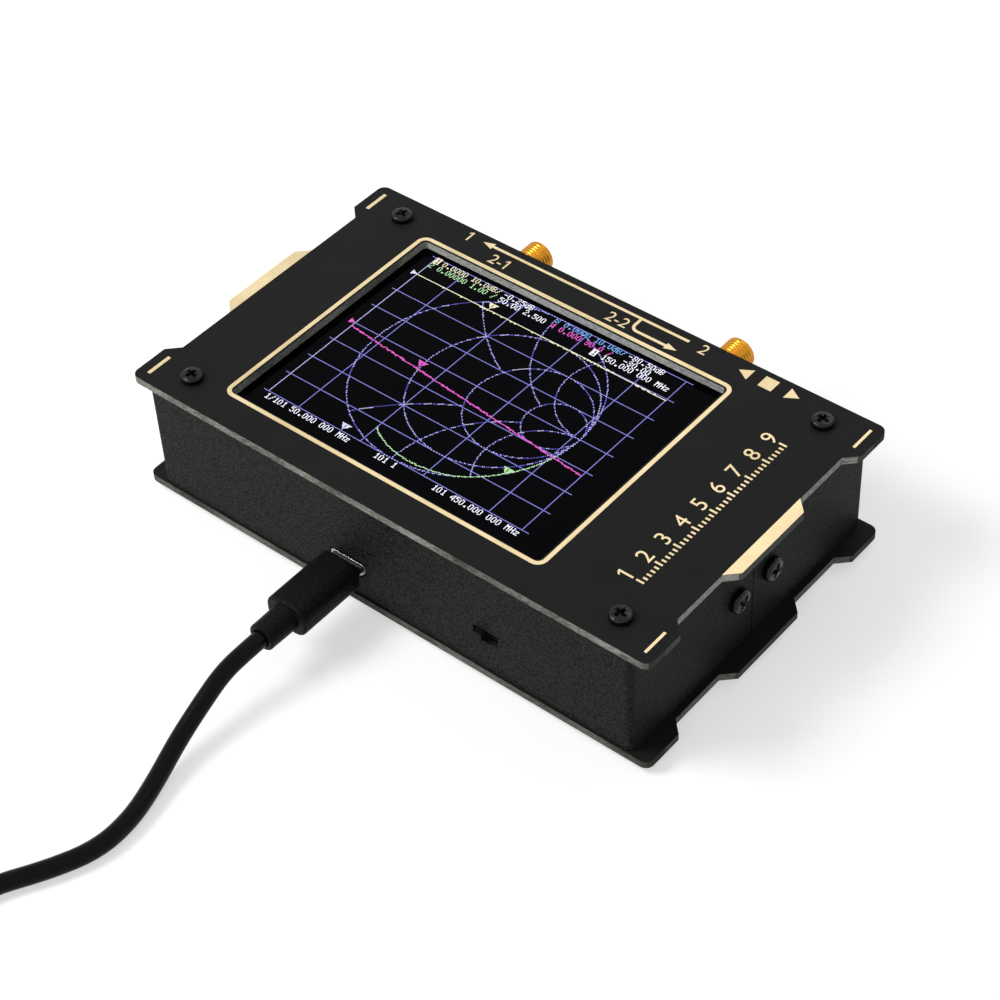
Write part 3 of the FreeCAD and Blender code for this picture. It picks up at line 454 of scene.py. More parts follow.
def litMaterial(name, code, strength):
    material, tree, place = startMaterial("lit_" + name)
    flicker = addNode(tree, "TexNoise", {"Vector": place, "Scale": 1 / (litLook["patch"] * mm)})
    duller = [part * litLook["dullest"] for part in linear(code)[:3]] + [1.0]
    glow = addNode(tree, "Mix", {0: flicker, 6: duller, 7: linear(code)}, data_type="RGBA")
    return endMaterial(material, {"Base Color": linear(litLook["unlit"]), "Roughness": litLook["rough"],
                                  "Specular IOR Level": litLook["specular"],
                                  "Emission Color": glow, "Emission Strength": strength})


materials = {name: finishMaterial(name, *look) for name, look in finishes.items()}
materials.update({name: laminateMaterial(name, *mask) for name, mask in laminateLook["masks"].items()})
materials["touch_glass"] = glassMaterial()
lit = {name: litMaterial(name, *look) for name, look in litPixels.items()}

nodeFinishes = {
    "black_solder_mask": ["top_plate", "bottom_plate"],
    "black_powder_coat": ["front_frame", "rear_frame"],
    "black_screw_steel": ["top_plate_screws", "bottom_plate_screws", "end_screws"],
    "pillar_brass": ["lower_pillars", "upper_pillars"],
    "bar_steel": ["joining_bars"],
    "board_laminate": ["main_board"],
    "tinplate": ["shield_can_left", "shield_can_right", "shield_can_middle", "button_covers", "button_domes",
                 "power_switch_cover", "power_switch_pins"],
    "chip_epoxy": ["processor", "board_chips"],
    "crystal_can": ["reference_crystal"],
    "port_gold": ["port_left_body", "port_right_body", "port_left_contact", "port_right_contact"],
    "port_white_plastic": ["port_left_insulator", "port_right_insulator"],
    "switch_black_plastic": ["button_left", "button_select", "button_right", "power_switch_knob"],
    # painted shade: the housings deep in their slots get the darker copy of the plastic
    "switch_plastic_painted_shade": ["button_housings", "power_switch_housing"],
    "usb_steel": ["usb_socket_shell", "far_plug_shell"],
    # painted shade: the plug's shell gets the darkened steel
    "plug_steel_painted_shade": ["usb_plug_shell"],
    "usb_black_plastic": ["usb_socket_tongue"],
    "far_tongue_plastic": ["far_plug_tongue"],
    "battery_pouch": ["battery_cell"],
    "foam_tape": ["battery_pads", "display_tape"],
    "wire_insulation": ["battery_wires"],
    "connector_white": ["battery_connector", "ribbon_connectors"],
    "touch_glass": ["touch_panel"],
    "display_glass": ["display_panel"],
    "backlight_frame": ["display_backlight"],
    "ribbon_film": ["display_ribbon", "touch_ribbon"],
    "lead_moulding": ["usb_plug_moulding", "far_plug_moulding"],
    "lead_jacket": ["lead_cable", "lead_coil", "lead_tail"],
}

for finish, names in nodeFinishes.items():
    for name in names:
        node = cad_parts[name]
        node.data.materials.clear()
        node.data.materials.append(materials[finish])
lead.data.materials.append(materials["lead_jacket"])
print("finishes:", len(bpy.data.materials), "materials")


# Softened copies: the same solids with the small edge rounding that a real part has.
softened = {  # node: (body, finish, edge radius in mm)
    "top_plate": ("case", "black_solder_mask", 0.07),
    "bottom_plate": ("case", "black_solder_mask", 0.07),
    "front_frame": ("case", "black_powder_coat", 0.12),
    "rear_frame": ("case", "black_powder_coat", 0.12),
    "usb_socket_shell": ("case", "usb_steel", 0.06),
    "usb_plug_shell": ("usb_lead", "plug_steel_painted_shade", 0.05),
    "far_plug_shell": ("usb_lead", "usb_steel", 0.08),
    "power_switch_knob": ("power_switch_knob", "switch_black_plastic", 0.1),
}
sharpFrom = 35       # an edge is one where its faces differ by this many degrees
flatWithin = 0.4     # faces that differ by fewer degrees are one
mergeWithin = 0.0001


def softenedCopy(node, body, finish, radius):
    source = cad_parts[node].data
    work = bmesh.new()
    verts = [work.verts.new(vertex.co) for vertex in source.vertices]
    for polygon in source.polygons:
        corners = [verts[i] for i in polygon.vertices]
        if len(set(corners)) == len(corners):
            work.faces.new(corners)
    bmesh.ops.remove_doubles(work, verts=work.verts, dist=mergeWithin * mm)
    bmesh.ops.dissolve_degenerate(work, edges=work.edges, dist=mergeWithin * mm / 10)
    bmesh.ops.dissolve_limit(work, angle_limit=math.radians(flatWithin), verts=work.verts, edges=work.edges)
    piece = addPiece(node + "_shaped", meshFrom(work, node, True, 1), body,
                     materials[finish], [node])
    addBevel(piece, radius, sharpFrom)
    return piece


shaped = {node: softenedCopy(node, *row) for node, row in softened.items()}


# Soft grips of both plugs: a rounded bar, then a strain relief that tapers to the lead.
gripSizes = {
    "usb_plug_moulding": {"width": 8.96, "height": 6.6, "corner": 2.7, "length": 14.5, "rounding": 0.5,
                          "reliefRoot": 2.9, "reliefTip": 2.7, "towards": -1},
    "far_plug_moulding": {"width": 15.6, "height": 8.0, "corner": 2.0, "length": 21.0, "rounding": 0.8,
                          "reliefRoot": 3.0, "reliefTip": 2.2, "towards": 1},
}
gripEnds = {"lipClearance": 0.15, "lipDepth": 0.8, "tipRounding": 0.35, "support": 0.2, "rootStep": 0.02,
            "leastCorner": 0.5, "steps": 5, "cornerSteps": 10}


def gripRows(front, rear, sizes):  # (distance along the axis, half width, half height, corner radius)
    ends, towards, radius = gripEnds, sizes["towards"], sizes["rounding"]
    shoulder = front + towards * sizes["length"]
    wide, tall, corner = sizes["width"] / 2, sizes["height"] / 2, sizes["corner"]
    turns = [math.radians(90 * k / ends["steps"]) for k in range(ends["steps"] + 1)]
    bend = [(1 - math.cos(turn), 1 - math.sin(turn)) for turn in turns]  # shares along and inwards
    support = towards * (radius + ends["support"])
    rows = [(front + towards * radius * along, radius * inwards) for along, inwards in bend]
    rows += [(front + support, 0), (shoulder - support, 0)]
    rows += [(shoulder - towards * radius * along, radius * inwards) for along, inwards in bend[::-1]]
    bar = [(y, wide - inset, tall - inset, max(corner - inset, ends["leastCorner"])) for y, inset in rows]
    root, tip, rounding = min(sizes["reliefRoot"], tall - radius), sizes["reliefTip"], ends["tipRounding"]
    mouth = leadSizes["diameter"] / 2 + ends["lipClearance"]
    relief = [(shoulder, root), (shoulder + towards * ends["support"], root - ends["rootStep"]),
              (rear - towards * (rounding + ends["support"]), tip)]
    relief += [(rear - towards * rounding * along, tip - rounding * inwards) for along, inwards in bend[::-1]]
    relief += [(rear, mouth), (rear - towards * ends["lipDepth"], mouth)]
    return bar + [(y, reach, reach, reach) for y, reach in relief]


def addGrip(node, sizes):
    low, high = (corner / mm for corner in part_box(node))
    middle = (low + high) / 2
    front, rear = (high.y, low.y) if sizes["towards"] < 0 else (low.y, high.y)
    work = bmesh.new()
    rings = [[work.verts.new((middle.x + x, y, middle.z + z)) for x, z in
              roundedOutline((-wide, wide, -tall, tall), radius, gripEnds["cornerSteps"])]
             for y, wide, tall, radius in gripRows(front, rear, sizes)]
    for near, far in zip(rings, rings[1:]):
        addBand(work, near, far)
    work.faces.new(rings[0])
    work.faces.new(rings[-1])
    bmesh.ops.remove_doubles(work, verts=work.verts, dist=mergeWithin)
    bmesh.ops.recalc_face_normals(work, faces=work.faces)
    mesh = meshFrom(work, node, True)
    mesh.set_sharp_from_angle(angle=math.radians(sharpFrom))
    return addPiece(node + "_shaped", mesh, "usb_lead", materials["lead_moulding"], [node])


for node, sizes in gripSizes.items():
    shaped[node] = addGrip(node, sizes)
print("softened copies:", len(shaped))


# Node trees for what repeats.
def startTree(name, floats, others=()):  # its inputs: the geometry, sizes, what else it needs, the material
    tree = bpy.data.node_groups.new(name, "GeometryNodeTree")
    for label, kind in (("Geometry", "Geometry"), *((label, "Float") for label in floats), *others,
                        ("Material", "Material")):
        tree.interface.new_socket(label, in_out="INPUT", socket_type="NodeSocket" + kind)
    tree.interface.new_socket("Geometry", in_out="OUTPUT", socket_type="NodeSocketGeometry")
    return tree, addNode(tree, "NodeGroupInput").outputs


def endTree(tree, given, shape):
    solid = addNode(tree, "GeometryNodeRealizeInstances", [shape])
    painted = addNode(tree, "GeometryNodeSetMaterial", {"Geometry": solid, "Material": given["Material"]})
    addNode(tree, "NodeGroupOutput", [painted])
    return tree


def grow(host, tree, values):  # what the tree makes of a host mesh, as a plain mesh
    holder = addObject("holder", host)
    modifier = holder.modifiers.new("grow", "NODES")
    modifier.node_group = tree
    for item in tree.interface.items_tree:
        if item.in_out == "INPUT" and item.name in values:
            modifier[item.identifier] = values[item.name]
    return evaluatedMesh(holder)


def pointMesh(name, points, label, rows):  # loose points with one vector each, for a tree to read
    host = bpy.data.meshes.new(name)
    host.from_pydata([tuple(point) for point in points], [], [])
    layer = host.attributes.new(label, "FLOAT_VECTOR", "POINT")
    layer.data.foreach_set("vector", [part for row in rows for part in row])
    return host


# A flat bar on every point: its length and width come from the point, its thickness from an input.
def barTree():
    tree, given = startTree("flatBars", ["Unit", "Fill", "Thickness"])
    span = addNode(tree, "GeometryNodeInputNamedAttribute", {"Name": "span"}, data_type="FLOAT_VECTOR")
    parts = addNode(tree, "SeparateXYZ", [span]).outputs
    side = addNode(tree, "Math", [given["Unit"], given["Fill"]], operation="MULTIPLY")
    sides = [addNode(tree, "Math", [parts[axis], side], operation="MULTIPLY") for axis in ("X", "Y")]
    size = addNode(tree, "CombineXYZ", [*sides, given["Thickness"]])
    bar = addNode(tree, "GeometryNodeMeshCube", {"Size": (1, 1, 1)})
    placed = addNode(tree, "GeometryNodeInstanceOnPoints",
                     {"Points": given["Geometry"], "Instance": bar, "Scale": size})
    return endTree(tree, given, placed)


# A screw on every point, along the point's own direction, each turned by chance as a driver leaves it.
def screwTree():
    tree, given = startTree("screws", ["Head Scale"], [("Screw", "Object"), ("Seed", "Int")])
    facing = addNode(tree, "GeometryNodeInputNamedAttribute", {"Name": "facing"}, data_type="FLOAT_VECTOR")
    aligned = addNode(tree, "FunctionNodeAlignRotationToVector", {"Vector": facing}, axis="Z")
    chance = addNode(tree, "FunctionNodeRandomValue", {2: 0.0, 3: math.pi / 2, "Seed": given["Seed"]},
                     data_type="FLOAT")
    spin = addNode(tree, "FunctionNodeEulerToRotation", [addNode(tree, "CombineXYZ", {"Z": chance})])
    turned = addNode(tree, "FunctionNodeRotateRotation", [aligned, spin], rotation_space="LOCAL")
    screw = addNode(tree, "GeometryNodeObjectInfo", {"Object": given["Screw"]}).outputs["Geometry"]
    placed = addNode(tree, "GeometryNodeInstanceOnPoints", {
        "Points": given["Geometry"], "Instance": screw, "Rotation": turned, "Scale": given["Head Scale"]})
    return endTree(tree, given, placed)


threaded = 0.99      # share of the major radius from which a point is part of the thread
leastRadius = 1e-3   # so that no point on the axis is divided by zero


# Cuts a helical V thread into the outside of a plain barrel that lies along Y.
def threadTree():
    sizes = ["Axis X", "Axis Z", "Start", "End", "Pitch", "Depth", "Major Radius"]
    tree, given = startTree("thread", sizes)
    at = addNode(tree, "SeparateXYZ", [addNode(tree, "GeometryNodeInputPosition")]).outputs
    known = {**{axis: at[axis] for axis in "XYZ"}, **{size: given[size] for size in sizes}}
    for result, operation, *parts in (
            ("x", "SUBTRACT", "X", "Axis X"), ("z", "SUBTRACT", "Z", "Axis Z"),
            ("squareX", "MULTIPLY", "x", "x"), ("squareZ", "MULTIPLY", "z", "z"),
            ("square", "ADD", "squareX", "squareZ"), ("radius", "SQRT", "square"),
            ("angle", "ARCTAN2", "z", "x"), ("turn", "DIVIDE", "angle", 2 * math.pi),
            ("turns", "DIVIDE", "Y", "Pitch"), ("phase", "SUBTRACT", "turns", "turn"),
            ("wave", "PINGPONG", "phase", 0.5), ("groove", "MULTIPLY", "wave", 2.0),
            ("fromStart", "SUBTRACT", "Y", "Start"), ("runIn", "DIVIDE", "fromStart", "Pitch"),
            ("toEnd", "SUBTRACT", "End", "Y"), ("runOut", "DIVIDE", "toEnd", "Pitch"),
            ("barrel", "MULTIPLY", "Major Radius", threaded), ("outside", "GREATER_THAN", "radius", "barrel"),
            ("run", "MULTIPLY", "runIn", "runOut"), ("form", "MULTIPLY", "groove", "outside"),
            ("share", "MULTIPLY", "run", "form"), ("cut", "MULTIPLY", "share", "Depth"),
            ("less", "SUBTRACT", "radius", "cut"), ("whole", "MAXIMUM", "radius", leastRadius),
            ("kept", "DIVIDE", "less", "whole"),
            ("newX", "MULTIPLY_ADD", "x", "kept", "Axis X"), ("newZ", "MULTIPLY_ADD", "z", "kept", "Axis Z")):
        inputs = [known[part] if isinstance(part, str) else part for part in parts]
        fades = result in ("runIn", "runOut")  # the groove comes in and goes out over one turn
        known[result] = addNode(tree, "Math", inputs, operation=operation, use_clamp=fades)
    moved = addNode(tree, "CombineXYZ", [known["newX"], at["Y"], known["newZ"]])
    placed = addNode(tree, "GeometryNodeSetPosition", {"Geometry": given["Geometry"], "Position": moved})
    return endTree(tree, given, placed)


bars, screws, thread = barTree(), screwTree(), threadTree()


screwSizes = {
    "headRadius": 2.0,
    "headHeight": 1.4,
    "crown": 0.14,          # how far the top of the head domes
    "crownSteps": 6,
    "rimRadius": 0.55,
    "rimSteps": 6,
    "underEdge": 0.08,
    "softEdge": 0.08,
    "sharpFrom": 40,        # degrees from which an edge is softened
    "shankRadius": 1.0,
    "tipChamfer": 0.25,
    "recessReach": 1.32,    # cross recess: from the middle to the end of an arm, at the top
    "recessFloorReach": 0.6,
    "recessHalfWidth": 0.36,
    "recessFloorHalfWidth": 0.2,
    "recessDepth": 0.95,
    "recessTop": 0.2,       # how far the cutter stands over the head
    "segments": 48,
}


def lathe(work, profile, segments):  # (radius, height) about Z, from one end of the axis to the other
    turns = [2 * math.pi * k / segments for k in range(segments)]
    rings = [[work.verts.new((radius * math.cos(turn), radius * math.sin(turn), height)) for turn in turns]
             if radius else [work.verts.new((0, 0, height))] * segments for radius, height in profile]
    for lower, upper in zip(rings, rings[1:]):
        addBand(work, lower, upper)
    bmesh.ops.recalc_face_normals(work, faces=work.faces)


def recessArm(turned):
    s = screwSizes
    loops = []
    for reach, half in ((s["recessFloorReach"], s["recessFloorHalfWidth"]),
                        (s["recessReach"], s["recessHalfWidth"])):
        loop = [(-reach, -half), (reach, -half), (reach, half), (-reach, half)]
        loops.append([(-y, x) for x, y in loop] if turned else loop)
    work = bmesh.new()
    addSlab(work, loops[0], s["headHeight"] - s["recessDepth"], s["headHeight"] + s["recessTop"], loops[1])
    return addObject("arm", meshFrom(work, "arm"))


def screwMesh(length):
    s = screwSizes
    head, height, rounding = s["headRadius"], s["headHeight"], s["rimRadius"]
    shank, under, tip = s["shankRadius"], s["underEdge"], s["tipChamfer"]
    rim, shoulder = head - rounding, height - s["crown"] - rounding
    crown = [(rim * share, height - s["crown"] * share ** 2)
             for share in (k / s["crownSteps"] for k in range(s["crownSteps"] + 1))]
    turns = [math.pi / 2 * k / s["rimSteps"] for k in range(1, s["rimSteps"] + 1)]
    bend = [(rim + rounding * math.sin(turn), shoulder + rounding * math.cos(turn)) for turn in turns]
    base = [(head, under), (head - under, 0), (shank, 0), (shank, tip - length), (shank - tip, -length),
            (0, -length)]
    work = bmesh.new()
    lathe(work, crown + bend + base, s["segments"])
    holder = addObject("screw", meshFrom(work, "screw", True))
    arms = [recessArm(turned) for turned in (False, True)]
    for arm in arms:
        cut = holder.modifiers.new("recess", "BOOLEAN")
        cut.operation = "DIFFERENCE"
        cut.solver = "EXACT"
        cut.object = arm
    addBevel(holder, s["softEdge"], s["sharpFrom"])
    made = evaluatedMesh(holder)
    for arm in arms:
        bpy.data.objects.remove(arm)
    return made


def addScrews(name, node, places, facing, length, scale, seed):
    master = addObject("master", screwMesh(length))
    made = grow(pointMesh(name, places, "facing", facing), screws, {
        "Screw": master, "Head Scale": scale, "Seed": seed, "Material": materials["black_screw_steel"]})
    bpy.data.objects.remove(master)
    return addPiece(name, made, "case", None, [node])


screwPlaces = {
    "insetX": 9.9,
    "insetY": 5.75,
    "endPitch": 9.6,
    "endHeight": 14.1,
    "top": (5.0, 1.04, 3),      # length below the head, scale of the whole, seed of the turns
    "bottom": (4.0, 1.0, 8),
    "end": (3.4, 1.18, 5),      # the next size up
}


def addAllScrews():
    p = screwPlaces
    corners = [(sx * (plateLength / 2 - p["insetX"]), sy * (plateWidth / 2 - p["insetY"]))
               for sx in (-1, 1) for sy in (-1, 1)]
    addScrews("topScrews", "top_plate_screws", [inCase(x, y, topLevel) for x, y in corners],
              [(0, 0, 1)] * len(corners), *p["top"])
    addScrews("bottomScrews", "bottom_plate_screws", [inCase(x, y) for x, y in corners],
              [(0, 0, -1)] * len(corners), *p["bottom"])
    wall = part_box("front_frame")[1].x / mm
    ends = [(side, half * p["endPitch"] / 2) for side in (-1, 1) for half in (-1, 1)]
    addScrews("endScrews", "end_screws", [inCase(side * wall, y, p["endHeight"]) for side, y in ends],
              [(side, 0, 0) for side, y in ends], *p["end"])
    return 2 * len(corners) + len(ends)


print("screws:", addAllScrews())


# Coaxial ports: a block on legs, a plain shoulder, and a barrel with a fine thread.
portSizes = {
    "majorRadius": 3.175,
    "pitch": 0.706,         # 36 turns to the inch
    "threadDepth": 0.24,
    "rowsPerTurn": 8,
    "shoulderRadius": 3.0,
    "threadStart": 1.0,     # beyond the wall
    "chamfer": 0.25,
    "mouthRadius": 2.35,
    "mouthDepth": 1.9,
    "mouthEdge": 0.12,
    "boreRadius": 2.05,
    "boreLength": 10.0,
    "blockWidth": 7.0,
    "blockDepth": 8.0,
    "blockEdge": 0.15,
    "intoBlock": 0.5,
    "legRadius": 0.5,
    "legPitch": 5.0,
    "legIntoBlock": 0.4,
    "legSegments": 16,
    "segments": 72,
}


def addPort(side):
    s = portSizes
    node = "port_" + side + "_body"
    low, high = (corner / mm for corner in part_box(node))
    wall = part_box("rear_frame")[1].y / mm
    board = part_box("main_board")[1].z / mm
    axisX = (low.x + high.x) / 2
    axisZ = sum(corner.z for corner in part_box("port_" + side + "_insulator")) / 2 / mm
    tip, blockRear, blockMiddle = high.y, low.y + s["blockDepth"], low.y + s["blockDepth"] / 2
    start, end = wall + s["threadStart"], high.y - s["chamfer"]
    rows = int((end - start) / s["pitch"] * s["rowsPerTurn"])
    major, shoulder, mouth, bore = (s[name + "Radius"] for name in ("major", "shoulder", "mouth", "bore"))
    profile = [(0, blockRear - s["intoBlock"]), (shoulder, blockRear - s["intoBlock"]), (shoulder, start)]
    profile += [(major, start + (end - start) * k / rows) for k in range(rows + 1)]
    profile += [(major - s["chamfer"], tip), (mouth + s["mouthEdge"], tip), (mouth, tip - s["mouthEdge"])]
    floor, bottom = tip - s["mouthDepth"], tip - s["mouthDepth"] - s["boreLength"]
    profile += [(mouth, floor), (bore, floor), (bore, bottom), (0, bottom)]
    work = bmesh.new()
    lathe(work, profile, s["segments"])
    bmesh.ops.rotate(work, cent=(0, 0, 0), matrix=Matrix.Rotation(-math.pi / 2, 3, "X"), verts=work.verts)
    bmesh.ops.translate(work, vec=(axisX, 0, axisZ), verts=work.verts)
    barrel = grow(meshFrom(work, "barrel", True, 1), thread, {
        "Axis X": axisX, "Axis Z": axisZ, "Start": start, "End": end, "Pitch": s["pitch"],
        "Depth": s["threadDepth"], "Major Radius": major, "Material": materials["port_gold"]})
    work = bmesh.new()
    middle = Vector((axisX, blockMiddle, (board + high.z) / 2))
    block = Vector((s["blockWidth"], s["blockDepth"], high.z - board))
    bmesh.ops.create_cube(work, size=1, matrix=Matrix.LocRotScale(middle, None, block))
    bmesh.ops.bevel(work, geom=work.edges[:], offset=s["blockEdge"], segments=bevelSegments,
                    affect="EDGES")
    legTop, half = board + s["legIntoBlock"], s["legPitch"] / 2
    for x, y in ((-half, -half), (-half, half), (half, -half), (half, half)):
        leg = bmesh.ops.create_cone(work, cap_ends=True, segments=s["legSegments"], radius1=s["legRadius"],
                                    radius2=s["legRadius"], depth=legTop - low.z)["verts"]
        bmesh.ops.translate(work, verts=leg, vec=(axisX + x, blockMiddle + y, (legTop + low.z) / 2))
    work.from_mesh(barrel)
    addPiece("port_" + side + "_threaded", meshFrom(work, node, None), "case",
             materials["port_gold"], [node])


for side in ("left", "right"):
    addPort(side)
print("ports: 2 threaded")


# Gold artwork on the top plate, places in mm from the plate's middle.
artwork = {
    "sunk": 0.03,
    "proud": 0.025,
    "frame": (-41.85, 31.2, -28.2, 27.6),
    "frameLine": 0.85,
    "frameRadius": 2.1,
    "tabLine": 56.05,            # the gold on an end tab starts here
    "tabHalf": 8.95,
    "tabMargin": (0.06, 0.04),   # how far it stays inside the plate's end and corners
    "barX": {-1: (-56.45, -55.7), 1: (56.0, 56.55)},
    "barY": (27.2, 32.65),
    "squareX": (33.7, 36.55),
    "marksY": (30.45, 33.4),
    "leftMark": (28.7, 31.2),    # apex and base
    "rightMark": (41.7, 39.2),
    "lineY": 32.72,
    "lineX": (-28.9, 17.1),
    "lineWidth": 0.62,
    "branchX": 6.4,
    "branchY": 29.3,
    "branchEnd": 14.3,
    "branchRadius": 1.3,
    "arrowLength": 2.45,
    "arrowHalf": 0.85,
    "numberHeight": 2.6,
    "portNumbers": {"1": (-34.4, 32.5), "2": (20.6, 32.5), "2-1": (-25.2, 29.9), "2-2": (3.0, 29.9)},
    "letterSteps": 4,
    "bluntest": 0.3,             # keeps the mitre of a sharp corner short
    "flag": (0.14, 0.2, 0.16),   # on a 1, as shares of its height: stroke, reach to the left, and drop
    "scaleX": 47.0,
    "scaleY": (-20.6, 20.4),
    "scaleNumbers": 9,
    "scaleSteps": 5,             # small steps from one number to the next
    "scaleTick": (0.95, 1.6),
    "scaleStroke": 0.42,
    "scaleDigit": 3.1,
    "scaleGap": 0.6,             # from the long ticks to the numbers
}


def addRing(work, outer, inner, low, high):
    outLow, inLow, outHigh, inHigh = ([work.verts.new((x, y, level)) for x, y in loop]
                                      for level in (low, high) for loop in (outer, inner))
    for near, far in ((outHigh, inHigh), (inLow, outLow), (outLow, outHigh), (inHigh, inLow)):
        addBand(work, near, far)


def strokeOutline(path, width):  # a line of even width along a path, with mitred corners
    sides = ([], [])
    path = [Vector(point) for point in path]
    for k, here in enumerate(path):
        into = here - path[k - 1] if k else path[1] - here
        out = path[k + 1] - here if k < len(path) - 1 else into
        across = (into.normalized() + out.normalized()).normalized()
        across = Vector((-across.y, across.x))
        reach = width / 2 / max(across.dot(Vector((-into.y, into.x)).normalized()),
                                artwork["bluntest"])
        for sign, row in zip((-1, 1), sides):
            row.append(tuple(here + across * reach * sign))
    return sides[0] + sides[1][::-1]


def arrowOutline(tip, base, y, half):
    turn = math.copysign(half, base - tip)
    return [(tip, y), (base, y - turn), (base, y + turn)]


def addLetters(work, text, middle, height, low, high, turn=0.0):
    curve = bpy.data.curves.new("letters", "FONT")
    curve.body = text
    curve.resolution_u = artwork["letterSteps"]
    curve.extrude = 0.5  # half of a height of 1
    shape = evaluatedMesh(addObject("letters", curve))
    xs = [vertex.co.x for vertex in shape.vertices]
    ys = [vertex.co.y for vertex in shape.vertices]
    size = height / (max(ys) - min(ys))
    place = Matrix.Translation((*middle, (low + high) / 2)) @ Matrix.Rotation(turn, 4, "Z")
    shrink = Matrix.Diagonal((size, size, high - low, 1))
    centre = Matrix.Translation((-(min(xs) + max(xs)) / 2, -(min(ys) + max(ys)) / 2, 0))
    shape.transform(place @ shrink @ centre)
    work.from_mesh(shape)
    if text.endswith("1"):  # the plain stroke of a 1 gets its flag
        stroke, reach, drop = (share * height for share in artwork["flag"])
        x, y = (max(xs) - min(xs)) / 2 * size - stroke, height / 2
        flag = [(x, y), (x - reach, y - drop), (x - reach, y - drop - stroke), (x, y - stroke)]
        facing = Matrix.Rotation(turn, 2)
        addSlab(work, [tuple(facing @ Vector(corner) + Vector(middle)) for corner in flag], low, high)


def addArtwork():
    a = artwork
    low, high = -a["sunk"], a["proud"]
    x0, x1, y0, y1 = a["frame"]
    line, radius = a["frameLine"], a["frameRadius"]
    work = bmesh.new()
    addRing(work, roundedOutline(a["frame"], radius),
            roundedOutline((x0 + line, x1 - line, y0 + line, y1 - line), radius - line), low, high)
    start, end = a["tabLine"], plateLength / 2 - a["tabMargin"][0]
    half = a["tabHalf"] - a["tabMargin"][1]
    wide = half + end - start
    slabs = [[(side * start, -side * wide), (side * end, -side * half), (side * end, side * half),
              (side * start, side * wide)] for side in (-1, 1)]
    x0, x1 = a["squareX"]
    y0, y1 = a["marksY"]
    slabs.append([(x0, y0), (x1, y0), (x1, y1), (x0, y1)])
    slabs += [arrowOutline(*a[mark], (y0 + y1) / 2, (y1 - y0) / 2) for mark in ("leftMark", "rightMark")]
    start, end = a["lineX"]
    lineY, branchX, branchY, branchEnd = a["lineY"], a["branchX"], a["branchY"], a["branchEnd"]
    radius, turns = a["branchRadius"], [math.radians(degrees) for degrees in range(0, 91, 10)]
    bend = [(branchX + radius * (1 - math.cos(turn)), branchY + radius * (1 - math.sin(turn)))
            for turn in turns]
    branch = [(branchX, lineY - a["lineWidth"] / 2), *bend, (branchEnd, branchY)]
    slabs += [strokeOutline(path, a["lineWidth"]) for path in ([(start, lineY), (end, lineY)], branch)]
    slabs += [arrowOutline(start - a["arrowLength"], start, lineY, a["arrowHalf"]),
              arrowOutline(branchEnd + a["arrowLength"], branchEnd, branchY, a["arrowHalf"])]
    for loop in slabs:
        addSlab(work, loop, low, high)
    for text, middle in a["portNumbers"].items():
        addLetters(work, text, middle, a["numberHeight"], low, high)
    first, last = a["scaleY"]
    step = (last - first) / (a["scaleNumbers"] - 1)
    digitX = a["scaleX"] - a["scaleTick"][1] - a["scaleGap"] - a["scaleDigit"] / 2
    for k in range(a["scaleNumbers"]):
        addLetters(work, str(k + 1), (digitX, first + k * step), a["scaleDigit"], low, high, math.pi / 2)
    mesh = meshFrom(work, "goldArtwork")
    mesh.transform(Matrix.Translation((caseMiddle.x, caseMiddle.y, plateHigh.z)))
    addPiece("goldArtwork", mesh, "case", materials["immersion_gold"])

    y0, y1 = a["barY"]
    corners = [(a["barX"][sx], sy) for sx in (-1, 1) for sy in (-1, 1)]
    places = [(sum(ends) / 2, sy * (y0 + y1) / 2) for ends, sy in corners]
    spans = [(ends[1] - ends[0], y1 - y0, 0) for ends, sy in corners]
    for k in range((a["scaleNumbers"] - 1) * a["scaleSteps"] + 1):
        tick = a["scaleTick"][0 if k % a["scaleSteps"] else 1]
        places.append((a["scaleX"] - tick / 2, first + k * step / a["scaleSteps"]))
        spans.append((tick, a["scaleStroke"], 0))
    points = [inCase(x, y, topLevel + (low + high) / 2) for x, y in places]
    ticks = grow(pointMesh("goldBars", points, "span", spans), bars, {
        "Unit": mm, "Fill": 1.0, "Thickness": (high - low) * mm, "Material": materials["immersion_gold"]})
    addPiece("goldBars", ticks, "case")


addArtwork()
print("artwork: laid")


